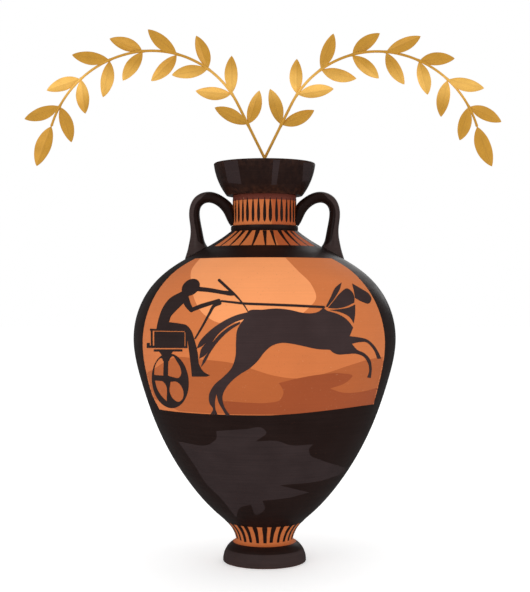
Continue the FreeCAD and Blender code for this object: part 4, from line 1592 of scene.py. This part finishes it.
class PaintHorse(bpy.types.Operator):
    """Paint the galloping horse"""
    bl_idname = "amphora.paint_horse"
    bl_label = "Paint the Horse"

    def execute(self, context):
        slip = settings("slip")
        material = slip_material("Horse Slip", slip.horse, 0.10, 0.50)
        body = body_surface()
        shapes = [[outline(shape)] for shape in HORSE]
        for back, side in ((False, "front"), (True, "back")):
            piece = painted(f"{side}_horse", shapes, body, slip.relief, material, back)
        return {"FINISHED"}


class CutCork(bpy.types.Operator):
    """Cut the cork that holds the two branches"""
    bl_idname = "amphora.cut_cork"
    bl_label = "Cut the Cork"

    def execute(self, context):
        piece = remade("neck_cork_cut", "neck_cork", 0.8, 3)
        piece.data.materials.append(cork_material())
        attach(piece, "cork")
        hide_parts("neck_cork")
        return {"FINISHED"}


class GildBranches(bpy.types.Operator):
    """Draw the two stems and beat their leaves"""
    bl_idname = "amphora.gild_branches"
    bl_label = "Gild the Branches"

    def execute(self, context):
        leaf_gilt = gilt_material("Leaf Gilt", True)
        stem_gilt = gilt_material("Stem Gilt", False)
        for side in ("left", "right"):
            body = f"{side}_branch"
            leaves = sorted(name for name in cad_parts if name.startswith(side) and "leaf" in name)
            stalks = np.array([leaf_frame(node)[0] for node in leaves])
            stem = remade(f"{side}_stem_drawn", f"{side}_stem", 0.5, 4)
            self.swell(stem.data, stalks)
            stem.data.materials.append(stem_gilt)
            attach(stem, body)
            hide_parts(f"{side}_stem")
            for index, node in enumerate(leaves):
                piece = make_leaf(f"{node}_beaten", node, 1.0 if index % 2 else -1.0, leaf_gilt)
                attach(piece, body)
                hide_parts(node)
        return {"FINISHED"}

    @staticmethod
    def swell(mesh, stalks):
        """Thickens the stem above the lip, most at the fork, and into a knuckle at each leaf stalk."""
        gilt = settings("gilt")
        spots = points_of(mesh)
        facing = normals_of(mesh)
        apart = np.linalg.norm(spots[:, None, :] - stalks[None, :, :], axis=2).min(axis=1)
        growth = gilt.knuckle * np.exp(-(apart / gilt.knuckle_reach) ** 2)
        clear = np.clip((spots[:, 2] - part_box("mouth")[1][2]) / (8.0 * MM), 0.0, 1.0)
        taper = 1.0 - np.abs(spots[:, 0]) / np.abs(spots[:, 0]).max()
        growth += clear * (gilt.plump + gilt.plump_fork * taper)
        mesh.vertices.foreach_set("co", (spots + facing * growth[:, None]).ravel())
        mesh.update()


class SetStage(bpy.types.Operator):
    """Set the pale floor, the soft light and the camera"""
    bl_idname = "amphora.set_stage"
    bl_label = "Set the Stage"

    def execute(self, context):
        studio = settings("studio")
        scene = context.scene
        scene.view_settings.view_transform = "Standard"
        scene.view_settings.look = "None"
        self.floor()
        self.sky(scene, studio)
        self.lamp("Key", (-1.5, -2.4, 2.0), 1.8, studio.key)
        self.lamp("Right Fill", (2.2, -1.4, 1.2), 1.8, studio.fill)
        self.lamp("Back Fill", (0.6, 2.6, 1.8), 2.2, studio.key)
        lens = bpy.data.cameras.new("View")
        lens.sensor_width = 36.0
        lens.lens = 36.0 * studio.distance / studio.frame_height
        lens.clip_end = 50.0
        camera = bpy.data.objects.new("View", lens)
        camera.location = (studio.beside, -studio.distance, studio.eye_height)
        camera.rotation_euler = (0.5 * math.pi, 0.0, 0.0)
        scene.collection.objects.link(camera)
        scene.camera = camera
        return {"FINISHED"}

    @staticmethod
    def floor():
        """A wide pale floor with a faint paper grain."""
        half = 14.0
        steps = 28
        ticks = np.linspace(-half, half, steps + 1)
        vertices = [(x, y, -0.2 * MM) for y in ticks for x in ticks]
        faces = []
        for row in range(steps):
            for column in range(steps):
                first = row * (steps + 1) + column
                faces.append((first, first + 1, first + steps + 2, first + steps + 1))
        floor = new_object("Floor", mesh_from("Floor", vertices, faces), [])
        material, tree, shader, place = start_material("Pale Floor")
        grain = spread(tree, noise(tree, place, 60.0, 4.0), 0.3, 0.7, 0.965, 0.985)
        tree.links.new(grey(tree, grain), shader.inputs["Base Color"])
        shader.inputs["Roughness"].default_value = 0.9
        shader.inputs["Specular IOR Level"].default_value = 0.0
        shader.inputs["Emission Color"].default_value = (1.0, 1.0, 1.0, 1.0)
        shader.inputs["Emission Strength"].default_value = 0.30
        floor.data.materials.append(material)
        floor.visible_glossy = False

    @staticmethod
    def sky(scene, studio):
        """Even white light, dimmer where it is mirrored so that black stays black."""
        world = bpy.data.worlds.new("Soft Room")
        world.use_nodes = True
        tree = world.node_tree
        tree.nodes.clear()
        path = tree.nodes.new("ShaderNodeLightPath").outputs
        plain = put(tree, "ShaderNodeMix", {0: path["Is Glossy Ray"], 2: studio.sky, 3: studio.sky_gloss},
                    data_type="FLOAT").outputs[0]
        seen = put(tree, "ShaderNodeMix", {0: path["Is Camera Ray"], 2: plain, 3: 1.0},
                   data_type="FLOAT").outputs[0]
        light = put(tree, "ShaderNodeBackground", {"Color": (1.0, 1.0, 1.0, 1.0), "Strength": seen})
        out = tree.nodes.new("ShaderNodeOutputWorld")
        tree.links.new(light.outputs[0], out.inputs["Surface"])
        scene.world = world

    @staticmethod
    def lamp(name, place, size, power):
        """A large square soft light aimed at the jar."""
        light = bpy.data.lights.new(name, "AREA")
        light.shape = "SQUARE"
        light.size = size
        light.energy = power
        light.specular_factor = 0.15
        lamp = bpy.data.objects.new(name, light)
        aim = Vector((0.0, 0.0, 0.42)) - Vector(place)
        lamp.matrix_world = Matrix.Translation(place) @ aim.to_track_quat("-Z", "Y").to_matrix().to_4x4()
        bpy.context.scene.collection.objects.link(lamp)


MAKERS = [ThrowBody, PullHandles, BrushStrokes, FireWashes, PaintChariot, PaintHorse, CutCork, GildBranches,
          SetStage]


class MakerPanel(bpy.types.Panel):
    """Lists the amphora's makers and their sizes and colours"""
    bl_idname = "VIEW3D_PT_amphora"
    bl_label = "Amphora"
    bl_space_type = "VIEW_3D"
    bl_region_type = "UI"
    bl_category = "Amphora"

    def draw(self, context):
        layout = self.layout
        for maker in MAKERS:
            layout.operator(maker.bl_idname)
        for name, kind in SETTINGS.items():
            box = layout.box()
            box.label(text=name.replace("_", " ").title())
            values = getattr(context.scene, name)
            for value in kind.__annotations__:
                box.prop(values, value)


def register():
    for kind in [*SETTINGS.values(), *MAKERS, MakerPanel]:
        bpy.utils.register_class(kind)
    for name, kind in SETTINGS.items():
        setattr(bpy.types.Scene, name, bpy.props.PointerProperty(type=kind))


def unregister():
    for name in SETTINGS:
        delattr(bpy.types.Scene, name)
    for kind in [MakerPanel, *reversed(MAKERS), *reversed(SETTINGS.values())]:
        bpy.utils.unregister_class(kind)


def main():
    """Makes every piece in order."""
    register()
    for maker in MAKERS:
        section_name, action = maker.bl_idname.split(".")
        getattr(getattr(bpy.ops, section_name), action)()


if __name__ == "__main__":
    main()
